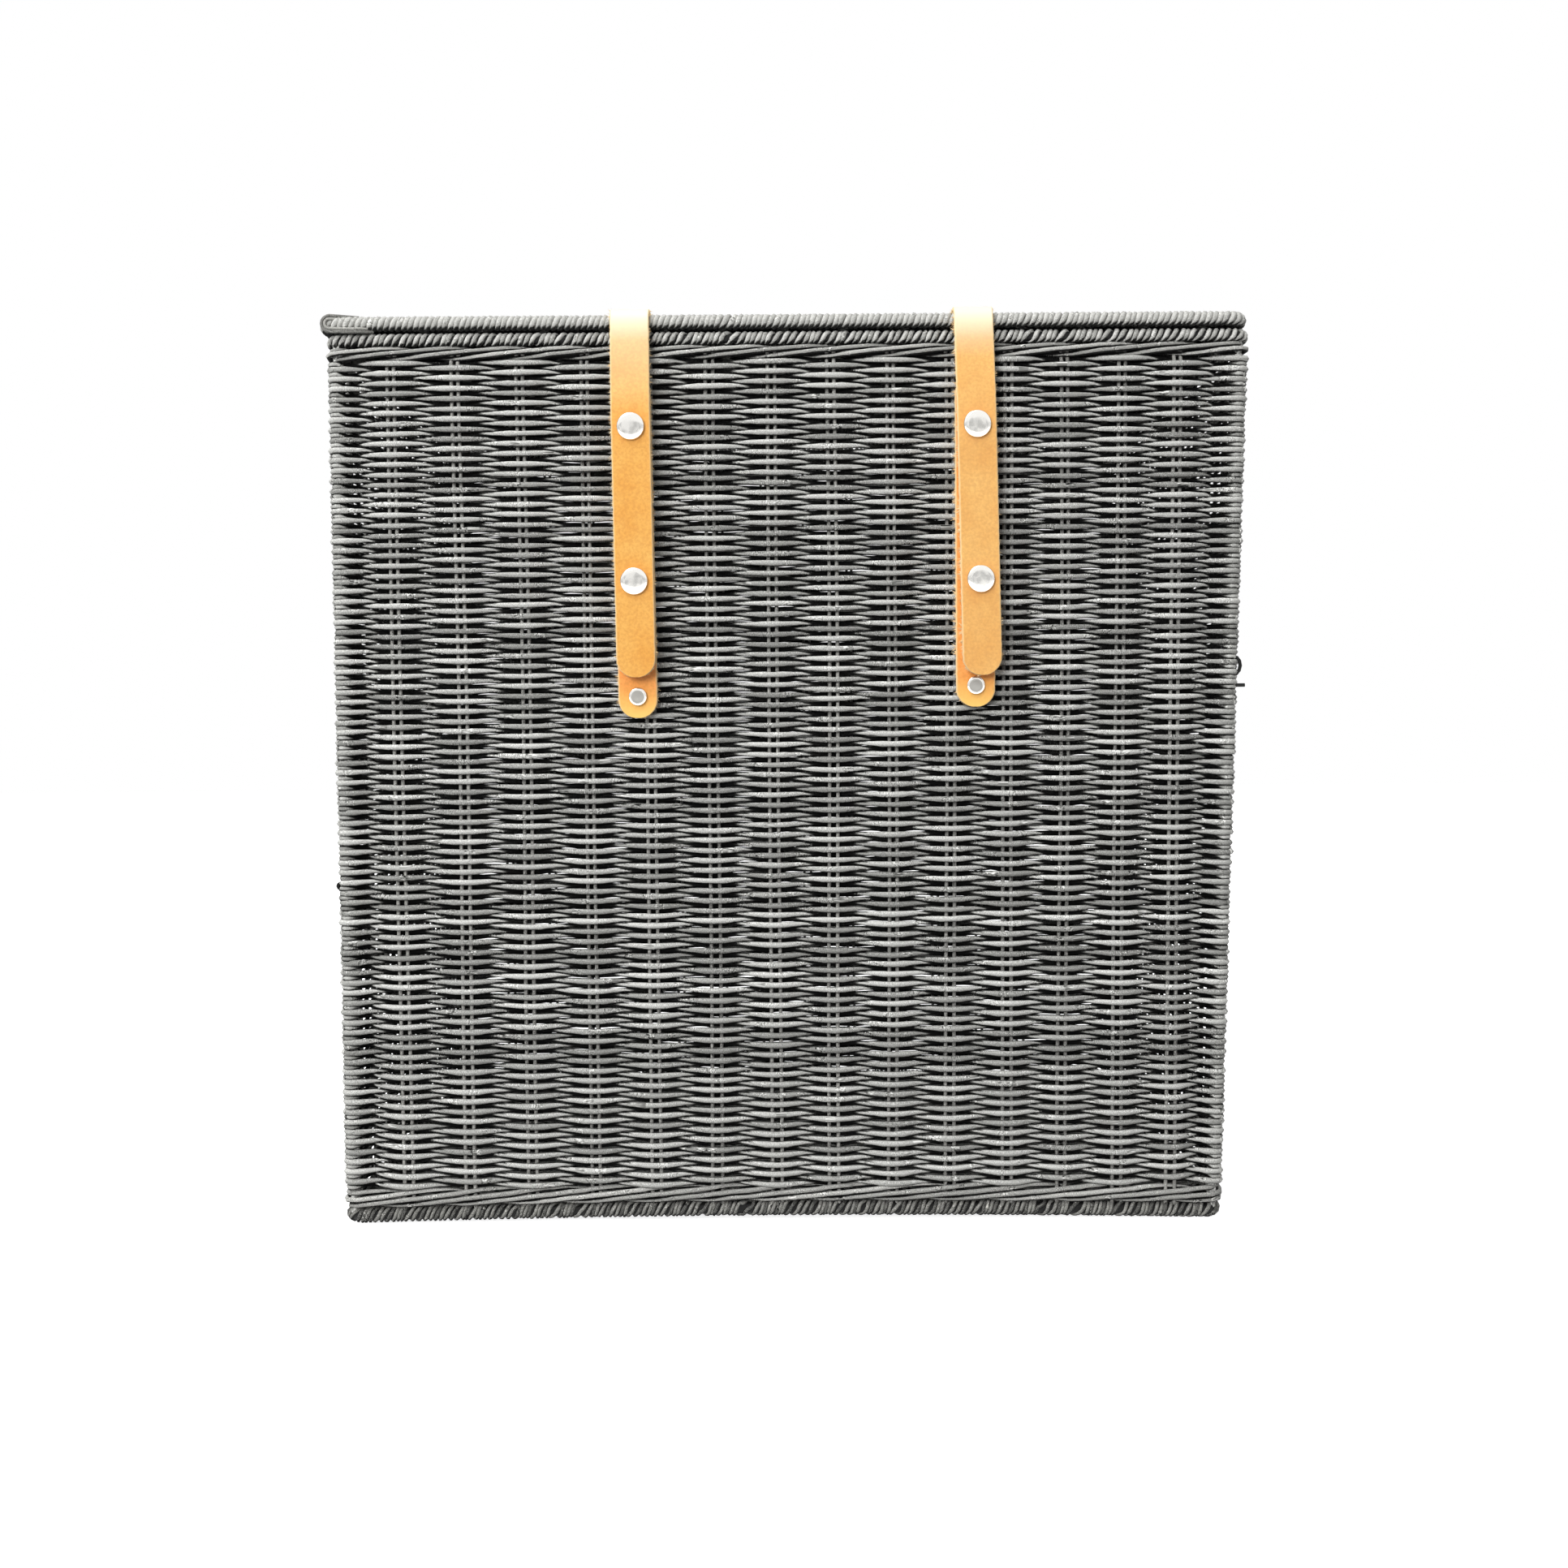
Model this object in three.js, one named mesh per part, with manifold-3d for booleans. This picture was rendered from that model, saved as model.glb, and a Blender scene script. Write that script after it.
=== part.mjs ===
// A lidded storage basket of black-stained rattan. Woven walls stand on a cane frame, a woven lid turns on
// cane loops at the back, and two leather straps with snap fasteners close it at the front.
// Millimetres, +Z up, front towards -Y. The origin lies on the floor under the middle of the whole basket.

import * as THREE from "three";
import { mergeVertices } from "three/addons/utils/BufferGeometryUtils.js";
import Module from "manifold-3d";

const wasm = await Module();
wasm.setup();

// Woven body, over the outer faces of its walls
const RIM_WIDTH = 478;
const RIM_DEPTH = 340;
const SIDE_TAPER = 11;
const FRONT_TAPER = 10;
const BODY_HEIGHT = 463;
const WALL_THICKNESS = 8;
const BASE_THICKNESS = 6.5;
const BASE_RISE = 1.5;

// Cane frame, each rail over its binding
const FOOT_RAIL_DIAMETER = 9;
const FOOT_RAIL_FLAT = 0.5;
const RIM_RAIL_DIAMETER = 7.5;
const POST_DIAMETER = 8;

// Upright stakes, which stand in pairs inside the weave
const STAKE_DIAMETER = 2.6;
const STAKE_PAIR_SPACING = 2.8;
const STAKE_TURN_EXTRA = 0.3;
const STAKE_PITCH = 31.4;
const RIM_STAKE_INSET = 35;
const FOOT_STAKE_INSET = 29;
const FRONT_STAKE_DRIFT = 9;
const STRAP_PARTING = 7;

// Relief of the weave. Both faces dip midway between stake pairs, where every weaver crosses the middle, by a
// share of the thickness and over a share of the gap. Waling at the rim and the foot keeps the full thickness
const DIP_DEPTH = 0.3;
const DIP_WIDTH = 0.56;
const RIM_WALING = 6.5;
const FOOT_WALING = 10;

// Lid
const LID_OVERHANG = 2;
const LID_RAIL_DIAMETER = 8.2;
const LID_THICKNESS = 7;

// Hinge loops, a few turns of cane round the lid's rear rail and the rim's rear rail
const LOOP_OFFSET = 125;
const LOOP_WIDTH = 12.5;
const LOOP_THICKNESS = 2.4;

// Leather straps, placed along X where they leave the lid. Their leans are in radians
const STRAP_WIDTH = 20;
const LEATHER_THICKNESS = 2.4;
const STRAP_END_ROUND = 7.5;
const TAB_LENGTH = 75;
const TAB_RIVET_SPACING = 32;
const FOLD_GAP = 0.8;
const FOLD_ANGLE = Math.PI / 4;
const LEFT_STRAP_X = -78.9;
const RIGHT_STRAP_X = 97.4;
const RIGHT_UNDER_STRAP_SHIFT = 0.4;
const RIGHT_UNDER_STRAP_RISE = 4.7;
const LEFT_STRAP_LEAN = 0.0145;
const RIGHT_STRAP_LEAN = 0.0185;

// Snap fasteners, from the dome outside to the post behind the under strap
const SNAP_DOWN = 51;
const SNAP_SPACING = 78.7;
const STRAP_FLAT_ABOVE_SNAP = 8;
const CLOSING_STRAP_BELOW_SNAP = 49;
const CAP_DIAMETER = 14.2;
const CAP_EDGE = 0.6;
const CAP_HEIGHT = 2.2;
const CAP_SHANK_DIAMETER = 3.4;
const SOCKET_DIAMETER = 12;
const SOCKET_THICKNESS = 1.6;
const SOCKET_BACK = 0.7;
const SOCKET_BORE = 6;
const STUD_DIAMETER = 10;
const STUD_FLANGE = 0.8;
const NUB_DIAMETER = 5.4;
const NUB_HEIGHT = 0.7;
const POST_SHANK_DIAMETER = 2.8;
const POST_FLANGE_DIAMETER = 9.5;
const POST_FLANGE = 0.8;

// Rivets
const RIVET_HEAD_DIAMETER = 9.4;
const RIVET_HEAD_HEIGHT = 1.6;
const RIVET_HEAD_EDGE = 0.5;
const RIVET_SHANK_DIAMETER = 3;
const RIVET_INSET = 11;
const UNDER_RIVET_ABOVE_SNAP = 14.5;
const UNDER_RIVET_BELOW_SNAP = 58.9;

// Gap left between pieces that touch on the real basket, and how far a cut runs past the face it opens
const CLEARANCE = 0.3;
const CUT_PAST = 1;

// Numbers of facets on round pieces, and the distance at which vertices are one
const ROD_SIDES = 12;
const STAKE_SIDES = 6;
const LATHE_SIDES = 14;
const BEND_STEPS = 5;
const MERGE_DISTANCE = 1e-4;

// Finishes
const WEAVE = new THREE.MeshStandardMaterial({ color: 0x4b4c4a, roughness: 0.62, metalness: 0 });
const CANE = new THREE.MeshStandardMaterial({ color: 0x454644, roughness: 0.58, metalness: 0 });
const LEATHER = new THREE.MeshStandardMaterial({ color: 0xe8a355, roughness: 0.55, metalness: 0 });
const NICKEL = new THREE.MeshStandardMaterial({ color: 0xd8d6d2, roughness: 0.18, metalness: 1 });

// Places, heights and half sizes that follow from the driving dimensions
const STRAPS = [
  {
    side: "left",
    x: LEFT_STRAP_X,
    lean: LEFT_STRAP_LEAN,
    underX: LEFT_STRAP_X,
    underLean: LEFT_STRAP_LEAN,
    underRise: 0,
  },
  {
    side: "right",
    x: RIGHT_STRAP_X,
    lean: RIGHT_STRAP_LEAN,
    underX: RIGHT_STRAP_X + RIGHT_UNDER_STRAP_SHIFT,
    underLean: 0,
    underRise: RIGHT_UNDER_STRAP_RISE,
  },
];
const footWidth = RIM_WIDTH - 2 * SIDE_TAPER;
const footDepth = RIM_DEPTH - 2 * FRONT_TAPER;
const lidWidth = RIM_WIDTH + 2 * LID_OVERHANG;
const lidDepth = RIM_DEPTH + 2 * LID_OVERHANG;
const weaveBottom = FOOT_RAIL_DIAMETER - FOOT_RAIL_FLAT + CLEARANCE;
const weaveTop = BODY_HEIGHT - RIM_RAIL_DIAMETER - CLEARANCE;
const lidHeight = BODY_HEIGHT + CLEARANCE + LID_RAIL_DIAMETER / 2;
const cornerSize = Math.max(POST_DIAMETER, WALL_THICKNESS);
const stakePairHalf = STAKE_PAIR_SPACING / 2 + STAKE_DIAMETER / 2;
const turnDiameter = STAKE_DIAMETER + STAKE_TURN_EXTRA;
const turnHalf = STAKE_PAIR_SPACING / 2 + turnDiameter / 2;
const share = (z) => z / BODY_HEIGHT;
const halfWidthAt = (z) => footWidth / 2 + SIDE_TAPER * share(z);
const halfDepthAt = (z) => footDepth / 2 + FRONT_TAPER * share(z);

// Solids from closed geometry, and back
function solidOf(geometry) {
  const bare = new THREE.BufferGeometry();
  bare.setAttribute("position", geometry.getAttribute("position"));
  bare.setIndex(geometry.getIndex());
  const merged = mergeVertices(bare, MERGE_DISTANCE);
  return new wasm.Manifold(
    new wasm.Mesh({
      numProp: 3,
      vertProperties: new Float32Array(merged.getAttribute("position").array),
      triVerts: new Uint32Array(merged.getIndex().array),
    }),
  );
}

function geometryOf(solid) {
  const mesh = solid.getMesh();
  const geometry = new THREE.BufferGeometry();
  geometry.setAttribute("position", new THREE.BufferAttribute(mesh.vertProperties, 3));
  geometry.setIndex(new THREE.BufferAttribute(mesh.triVerts, 1));
  geometry.computeVertexNormals();
  return geometry;
}

const cut = (geometry, tools) =>
  geometryOf(tools.reduce((solid, tool) => solid.subtract(solidOf(tool)), solidOf(geometry)));
const join = (geometries) =>
  geometryOf(geometries.slice(1).reduce((solid, g) => solid.add(solidOf(g)), solidOf(geometries[0])));
const common = (a, b) => geometryOf(solidOf(a).intersect(solidOf(b)));

// A solid between two convex outlines with as many points, which run counter-clockwise about the way from the
// first to the second
function loft(first, second) {
  const count = first.length;
  const sides = first.flatMap((_, i) => {
    const next = (i + 1) % count;
    return [i, next, count + next, i, count + next, count + i];
  });
  const caps = first.slice(2).flatMap((_, i) => [0, i + 2, i + 1, count, count + i + 1, count + i + 2]);
  const geometry = new THREE.BufferGeometry();
  geometry.setAttribute("position", new THREE.Float32BufferAttribute([...first, ...second].flat(), 3));
  geometry.setIndex([...sides, ...caps]);
  return geometry;
}

// A block between two level rectangles, each given as { x, y, halfX, halfY, z }
const block = (bottom, top) =>
  loft(
    ...[bottom, top].map((r) => [
      [r.x - r.halfX, r.y - r.halfY, r.z],
      [r.x + r.halfX, r.y - r.halfY, r.z],
      [r.x + r.halfX, r.y + r.halfY, r.z],
      [r.x - r.halfX, r.y + r.halfY, r.z],
    ]),
  );

const box = (x, y, z, halfX, halfY, halfZ) =>
  block({ x, y, halfX, halfY, z: z - halfZ }, { x, y, halfX, halfY, z: z + halfZ });

// A round rod from one point to another
function rod(from, to, diameter, sides = ROD_SIDES) {
  const a = new THREE.Vector3(...from);
  const b = new THREE.Vector3(...to);
  const along = b.clone().sub(a);
  const geometry = new THREE.CylinderGeometry(diameter / 2, diameter / 2, along.length(), sides);
  const turn = new THREE.Quaternion().setFromUnitVectors(new THREE.Vector3(0, 1, 0), along.normalize());
  geometry.applyQuaternion(turn);
  return geometry.translate(...a.add(b).multiplyScalar(0.5).toArray());
}

// A turned piece, whose profile points are [radius, height along its axis]
const turned = (profile) =>
  new THREE.LatheGeometry(profile.map(([r, h]) => new THREE.Vector2(r, h)), LATHE_SIDES);

// An outline in X and Y, given its height up from z = 0
const standing = (shape, depth, curveSegments = BEND_STEPS) =>
  new THREE.ExtrudeGeometry(shape, { depth, curveSegments, bevelEnabled: false });

// An outline in X and Z, given its thickness towards -Y from y = 0
const facingFront = (shape, thickness) => standing(shape, thickness).rotateX(Math.PI / 2);

// An outline in Y and Z, given its width along X about x = 0
function sideways(shape, width, curveSegments) {
  const axes = new THREE.Matrix4().makeBasis(
    new THREE.Vector3(0, 1, 0),
    new THREE.Vector3(0, 0, 1),
    new THREE.Vector3(1, 0, 0),
  );
  return standing(shape, width, curveSegments).translate(0, 0, -width / 2).applyMatrix4(axes);
}

function piece(name, geometry, material) {
  const mesh = new THREE.Mesh(geometry, material);
  mesh.name = name;
  return mesh;
}

// Stake columns along a wall, as places at the rim and at the foot, spread evenly between the insets
function stakeColumns(rimSize, footSize) {
  const rimHalf = rimSize / 2 - RIM_STAKE_INSET;
  const footHalf = footSize / 2 - FOOT_STAKE_INSET;
  const gaps = Math.max(1, Math.round((2 * rimHalf) / STAKE_PITCH));
  return Array.from({ length: gaps + 1 }, (_, i) => {
    const place = (2 * i) / gaps - 1;
    return { rim: place * rimHalf, foot: place * footHalf, place };
  });
}

// The front stakes crowd a little to the right at the middle, and part to let the strap rivets through
function frontColumns() {
  const riveted = STRAPS.flatMap((strap) => [strap.x, ...rivetPlaces(strap).map((p) => p.x)]);
  return stakeColumns(RIM_WIDTH, footWidth).map(({ rim, foot, place }) => {
    const drifted = rim + FRONT_STAKE_DRIFT * (1 - place * place);
    const parted = riveted.reduce((x, at) => {
      const off = x - at;
      return Math.abs(off) < STRAP_PARTING ? at + (off < 0 ? -STRAP_PARTING : STRAP_PARTING) : x;
    }, drifted);
    return { rim: parted, foot: foot + parted - rim };
  });
}

// Wedges that dip both faces of a woven sheet between neighbouring places. Each end of the wedges lists its
// places and puts a point that is given across the sheet and in from its first face
function dips(thickness, from, to) {
  const depth = thickness * DIP_DEPTH;
  const outline = ({ places, put }, i, far) => {
    const [a, b] = far ? [places[i + 1], places[i]] : [places[i], places[i + 1]];
    const middle = (a + b) / 2;
    const open = ((b - a) / 2) * DIP_WIDTH * (1 + CUT_PAST / depth);
    const into = (distance) => (far ? thickness - distance : distance);
    return [
      put(middle - open, into(-CUT_PAST)),
      put(middle + open, into(-CUT_PAST)),
      put(middle, into(depth)),
    ];
  };
  return from.places.slice(1).flatMap((_, i) =>
    [false, true].map((far) => loft(outline(from, i, far), outline(to, i, far))),
  );
}

// One woven wall with its stakes, drawn as the front wall is: outer face towards -Y
function wall({ halfEdgeAt, faceAt, columns, holes = [], stakeHoles = [] }) {
  const slice = (z, halfX, halfY, x = 0) => ({ x, y: -faceAt(z) + WALL_THICKNESS / 2, halfX, halfY, z });
  const panelAt = (z) => slice(z, halfEdgeAt(z) - cornerSize - CLEARANCE, WALL_THICKNESS / 2);
  const xAt = (column, z) => column.foot + (column.rim - column.foot) * share(z);

  const channelAt = (column, z) =>
    slice(z, stakePairHalf + CLEARANCE, STAKE_DIAMETER / 2 + CLEARANCE, xAt(column, z));
  const channels = columns.map((c) =>
    block(channelAt(c, weaveBottom - CUT_PAST), channelAt(c, weaveTop + CUT_PAST)),
  );

  const endAt = (z) => ({
    places: [-panelAt(z).halfX, ...columns.map((c) => xAt(c, z)), panelAt(z).halfX],
    put: (x, into) => [x, into - faceAt(z), z],
  });
  const relief = dips(WALL_THICKNESS, endAt(weaveBottom + FOOT_WALING), endAt(weaveTop - RIM_WALING));

  // The feet of the stakes turn along the wall over the foot rail, which ties them together
  const turnTop = weaveBottom + turnDiameter;
  const spanAt = (z, gap) => {
    const first = xAt(columns[0], z) - turnHalf - gap;
    const last = xAt(columns[columns.length - 1], z) + turnHalf + gap;
    return slice(z, (last - first) / 2, turnDiameter / 2 + gap, (first + last) / 2);
  };
  const groove = block(spanAt(weaveBottom - CUT_PAST, CLEARANCE), spanAt(turnTop + CLEARANCE, CLEARANCE));
  const turn = block(spanAt(weaveBottom, 0), spanAt(turnTop, 0));

  const stakes = columns.flatMap((c) =>
    [-STAKE_PAIR_SPACING / 2, STAKE_PAIR_SPACING / 2].map((side) => {
      const ends = [weaveBottom + turnDiameter / 2, weaveTop];
      const [from, to] = ends.map((z) => [xAt(c, z) + side, -faceAt(z) + WALL_THICKNESS / 2, z]);
      return rod(from, to, STAKE_DIAMETER, STAKE_SIDES);
    }),
  );
  return {
    weave: cut(block(panelAt(weaveBottom), panelAt(weaveTop)), [...relief, ...channels, groove, ...holes]),
    stakes: cut(join([turn, ...stakes]), stakeHoles),
  };
}

// A level woven panel about the origin with stakes from front to back
function panel({ width, depth, thickness, columns, stakeEnd, holes = [] }) {
  const channels = columns.map((x) =>
    box(x, 0, 0, stakePairHalf + CLEARANCE, depth / 2 + CUT_PAST, STAKE_DIAMETER / 2 + CLEARANCE),
  );
  const first = columns[0] - turnHalf;
  const last = columns[columns.length - 1] + turnHalf;
  const middle = (first + last) / 2;
  const half = (last - first) / 2;
  const turnRadius = turnDiameter / 2;
  const turnY = -depth / 2 + turnRadius;
  const room = turnRadius + CLEARANCE;
  const groove = box(middle, turnY - CUT_PAST, 0, half + CLEARANCE, room + CUT_PAST, room);
  const turn = box(middle, turnY, 0, half, turnRadius, turnRadius);
  const stakes = columns.flatMap((x) =>
    [-STAKE_PAIR_SPACING / 2, STAKE_PAIR_SPACING / 2].map((side) =>
      rod([x + side, turnY, 0], [x + side, depth / 2 - stakeEnd, 0], STAKE_DIAMETER, STAKE_SIDES),
    ),
  );
  const endAt = (y) => ({
    places: [-width / 2, ...columns, width / 2],
    put: (x, into) => [x, y, thickness / 2 - into],
  });
  const border = depth / 2 - turnDiameter - CLEARANCE - CUT_PAST;
  const relief = dips(thickness, endAt(-border), endAt(border));
  const slab = box(0, 0, 0, width / 2, depth / 2, thickness / 2);
  return { weave: cut(slab, [...relief, ...channels, groove, ...holes]), stakes: join([turn, ...stakes]) };
}

// Four rails round a rectangle: the front and back ones run full width, the side ones butt between them
function rails(prefix, width, depth, diameter, z, section) {
  const y = depth / 2 - diameter / 2;
  const x = width / 2 - diameter / 2;
  const sideLength = depth - 2 * diameter - 2 * CLEARANCE;
  const lying = (length) => section(length, diameter);
  const made = [
    ["front", lying(width).translate(0, -y, z)],
    ["back", lying(width).translate(0, y, z)],
    ["left", lying(sideLength).rotateZ(Math.PI / 2).translate(-x, 0, z)],
    ["right", lying(sideLength).rotateZ(Math.PI / 2).translate(x, 0, z)],
  ];
  return made.map(([side, geometry]) => piece(`${prefix}_${side}`, geometry, CANE));
}

const roundRail = (length, diameter) => rod([-length / 2, 0, 0], [length / 2, 0, 0], diameter);

// A foot rail is worn flat where it stands on the floor
function footRail(length, diameter) {
  const radius = diameter / 2;
  const flatAngle = Math.acos((radius - FOOT_RAIL_FLAT) / radius);
  const section = new THREE.Shape();
  section.absarc(0, 0, radius, -Math.PI / 2 + flatAngle, (3 * Math.PI) / 2 - flatAngle, false);
  section.closePath();
  return sideways(section, length, ROD_SIDES);
}

function cornerPosts() {
  const sides = [["front", -1], ["back", 1]];
  return sides.flatMap(([depthName, sy]) =>
    [["left", -1], ["right", 1]].map(([widthName, sx]) => {
      const [from, to] = [weaveBottom, weaveTop].map((z) => [
        sx * (halfWidthAt(z) - POST_DIAMETER / 2),
        sy * (halfDepthAt(z) - POST_DIAMETER / 2),
        z,
      ]);
      return piece(`post_${depthName}_${widthName}`, rod(from, to, POST_DIAMETER), CANE);
    }),
  );
}

// Hinge loops at the back
const lidRailY = lidDepth / 2 - LID_RAIL_DIAMETER / 2;
const rimRailY = RIM_DEPTH / 2 - RIM_RAIL_DIAMETER / 2;
const rimRailZ = BODY_HEIGHT - RIM_RAIL_DIAMETER / 2;
const loopInner = Math.max(LID_RAIL_DIAMETER, RIM_RAIL_DIAMETER) / 2 + CLEARANCE;
const loopOuter = loopInner + LOOP_THICKNESS;

// The outline of a loop round both rails, at a given reach from their middles
function loopOutline(reach) {
  const lean = Math.atan2(lidRailY - rimRailY, lidHeight - rimRailZ);
  const outline = new THREE.Path();
  outline.absarc(lidRailY, lidHeight, reach, -lean, Math.PI - lean, false);
  outline.absarc(rimRailY, rimRailZ, reach, Math.PI - lean, 2 * Math.PI - lean, false);
  outline.closePath();
  return outline;
}

function hingeLoop(name, x) {
  const ring = new THREE.Shape(loopOutline(loopOuter).getPoints(BEND_STEPS));
  ring.holes.push(new THREE.Path(loopOutline(loopInner).getPoints(BEND_STEPS)));
  return piece(name, sideways(ring, LOOP_WIDTH).translate(x, 0, 0), CANE);
}

// Room for a loop in the pieces that it passes through
const loopPlaces = [["left", -LOOP_OFFSET], ["right", LOOP_OFFSET]];
const loopReach = loopOuter + Math.abs(lidRailY - rimRailY) + CLEARANCE;
const loopRoom = (x, y, z) => box(x, y, z, LOOP_WIDTH / 2 + CLEARANCE, loopReach, loopOuter + CLEARANCE);

// The front face of the basket leans outwards to the rim. Pieces fixed to it are placed down from the rim's
// edge and out from the face, in this frame
const faceLean = Math.atan2(FRONT_TAPER, BODY_HEIGHT);
const faceOrigin = new THREE.Vector3(0, -RIM_DEPTH / 2, BODY_HEIGHT);
function onFace(pieces) {
  const frame = new THREE.Group();
  frame.position.copy(faceOrigin);
  frame.rotation.x = faceLean;
  frame.add(...pieces);
  return frame;
}

// Layers outwards from the front face
const underBack = POST_FLANGE + 2 * CLEARANCE;
const underFront = underBack + LEATHER_THICKNESS;
const studSeat = underFront + CLEARANCE;
const socketSeat = studSeat + STUD_FLANGE + NUB_HEIGHT + CLEARANCE + SOCKET_THICKNESS;
const closingBack = socketSeat + CLEARANCE;
const closingFront = closingBack + LEATHER_THICKNESS;
const capSeat = closingFront + CLEARANCE;

// Places of the snaps and rivets of one strap, in the face's frame
const downAlong = (x, lean, down) => ({ x: x + down * Math.sin(lean), z: -down * Math.cos(lean) });
const snapDowns = [SNAP_DOWN, SNAP_DOWN + SNAP_SPACING];
const snapPlaces = (strap) => snapDowns.map((down) => downAlong(strap.x, strap.lean, down));
const rivetDowns = (strap) => [
  SNAP_DOWN - UNDER_RIVET_ABOVE_SNAP,
  SNAP_DOWN + SNAP_SPACING + UNDER_RIVET_BELOW_SNAP - strap.underRise,
];
const rivetPlaces = (strap) =>
  rivetDowns(strap).map((down) => downAlong(strap.underX, strap.underLean, down));

// A hole through pieces on the face, from one depth to another
const faceHole = (place, diameter, from, to) =>
  rod([place.x, -to, place.z], [place.x, -from, place.z], diameter + 2 * CLEARANCE, LATHE_SIDES);

// A dome outline from its edge to the axis, for a head of that diameter on a seat at height zero
function dome(diameter, edge, height) {
  const radius = diameter / 2;
  return Array.from({ length: BEND_STEPS }, (_, i) => {
    const angle = (i / (BEND_STEPS - 1)) * (Math.PI / 2);
    return [radius * Math.cos(angle), edge + (height - edge) * Math.sin(angle)];
  });
}

// A rivet set through a stack of that grip: domed head outside, flat head inside
function rivet(grip) {
  const head = RIVET_HEAD_DIAMETER / 2;
  const shank = RIVET_SHANK_DIAMETER / 2;
  return turned([
    [0, -grip - RIVET_HEAD_HEIGHT],
    [head - RIVET_HEAD_EDGE, -grip - RIVET_HEAD_HEIGHT],
    [head, -grip - RIVET_HEAD_HEIGHT / 2],
    [head, -grip],
    [shank, -grip],
    [shank, 0],
    [head, 0],
    ...dome(RIVET_HEAD_DIAMETER, RIVET_HEAD_EDGE, RIVET_HEAD_HEIGHT),
  ]);
}

// A turned piece set on the front face with its axis outwards
const outward = (geometry, place, seat) => geometry.rotateX(Math.PI).translate(place.x, -seat, place.z);

// Strip outline of a strap from the points of its back surface
function strip(points, thickness) {
  const outer = points.map((p, i) => {
    const before = p.clone().sub(points[Math.max(0, i - 1)]);
    const after = points[Math.min(points.length - 1, i + 1)].clone().sub(p);
    const a = (before.length() ? before : after).clone().normalize();
    const b = (after.length() ? after : before).clone().normalize();
    const along = a.clone().add(b).normalize();
    const stretch = 1 / along.dot(a);
    return new THREE.Vector2(p.x + along.y * thickness * stretch, p.y - along.x * thickness * stretch);
  });
  return new THREE.Shape([...points, ...outer.reverse()]);
}

// An outline in X and Z from one level down to another, with rounded ends where asked
function strapOutline(top, bottom, roundTop, roundBottom) {
  const half = STRAP_WIDTH / 2;
  const round = Math.min(STRAP_END_ROUND, (top - bottom) / 2);
  const outline = new THREE.Shape();
  outline.moveTo(-half, roundTop ? top - round : top);
  outline.lineTo(-half, roundBottom ? bottom + round : bottom);
  if (roundBottom) outline.absellipse(0, bottom + round, half, round, Math.PI, 2 * Math.PI, false);
  else outline.lineTo(half, bottom);
  outline.lineTo(half, roundTop ? top - round : top);
  if (roundTop) outline.absellipse(0, top - round, half, round, 0, Math.PI, false);
  else outline.lineTo(-half, top);
  outline.closePath();
  return outline;
}

// The under strap, riveted to the front wall at both ends, carries the studs
function underStrap(strap) {
  const [upper, lower] = rivetDowns(strap);
  const top = RIVET_INSET - upper;
  const bottom = -lower - RIVET_INSET;
  const flat = facingFront(strapOutline(top, bottom, true, true), LEATHER_THICKNESS)
    .rotateY(-strap.underLean)
    .translate(strap.underX, -underBack, 0);
  const through = (place, diameter) =>
    faceHole(place, diameter, underBack - CUT_PAST, underFront + CUT_PAST);
  return cut(flat, [
    ...rivetPlaces(strap).map((p) => through(p, RIVET_SHANK_DIAMETER)),
    ...snapPlaces(strap).map((p) => through(p, POST_SHANK_DIAMETER)),
  ]);
}

// The strap bends over the lid's front rail. Angles round that rail are from the front upwards
const bendInner = LID_RAIL_DIAMETER / 2 + CLEARANCE;
const bendOuter = bendInner + LEATHER_THICKNESS;
const foldHalfAngle = FOLD_GAP / 2 / bendOuter;
const round = (centre, angle, radius) =>
  new THREE.Vector2(centre.x - radius * Math.cos(angle), centre.y + radius * Math.sin(angle));
const bend = (centre, from, to) =>
  Array.from({ length: BEND_STEPS }, (_, i) =>
    round(centre, from + ((to - from) * i) / (BEND_STEPS - 1), bendInner),
  );

// Places of the rivets through a tab and the lid
const tabBack = -lidDepth / 2 + TAB_LENGTH;
const tabRivetPlaces = (strap) => {
  const rear = tabBack - RIVET_INSET;
  return [rear - TAB_RIVET_SPACING, rear].map((y) => ({ x: strap.x, y }));
};
const uprightHole = ({ x, y }, from, to) =>
  rod([x, y, from], [x, y, to], RIVET_SHANK_DIAMETER + 2 * CLEARANCE, LATHE_SIDES);

// The tab, riveted on the lid, as far as the fold over the front rail
function strapTab(strap) {
  const centre = new THREE.Vector2(-lidRailY, lidHeight);
  const points = [
    ...bend(centre, FOLD_ANGLE + foldHalfAngle, Math.PI / 2),
    new THREE.Vector2(tabBack, lidHeight + bendInner),
  ].reverse();
  const strapSide = sideways(strip(points, LEATHER_THICKNESS), STRAP_WIDTH);
  const front = -lidDepth / 2 - bendOuter;
  const plan = standing(strapOutline(tabBack, front, true, false), 2 * bendOuter).translate(0, 0, lidHeight);
  const holes = tabRivetPlaces({ x: 0 }).map((p) => uprightHole(p, lidHeight, lidHeight + 2 * bendOuter));
  return cut(common(strapSide, plan), holes).translate(strap.x, 0, 0);
}

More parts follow.
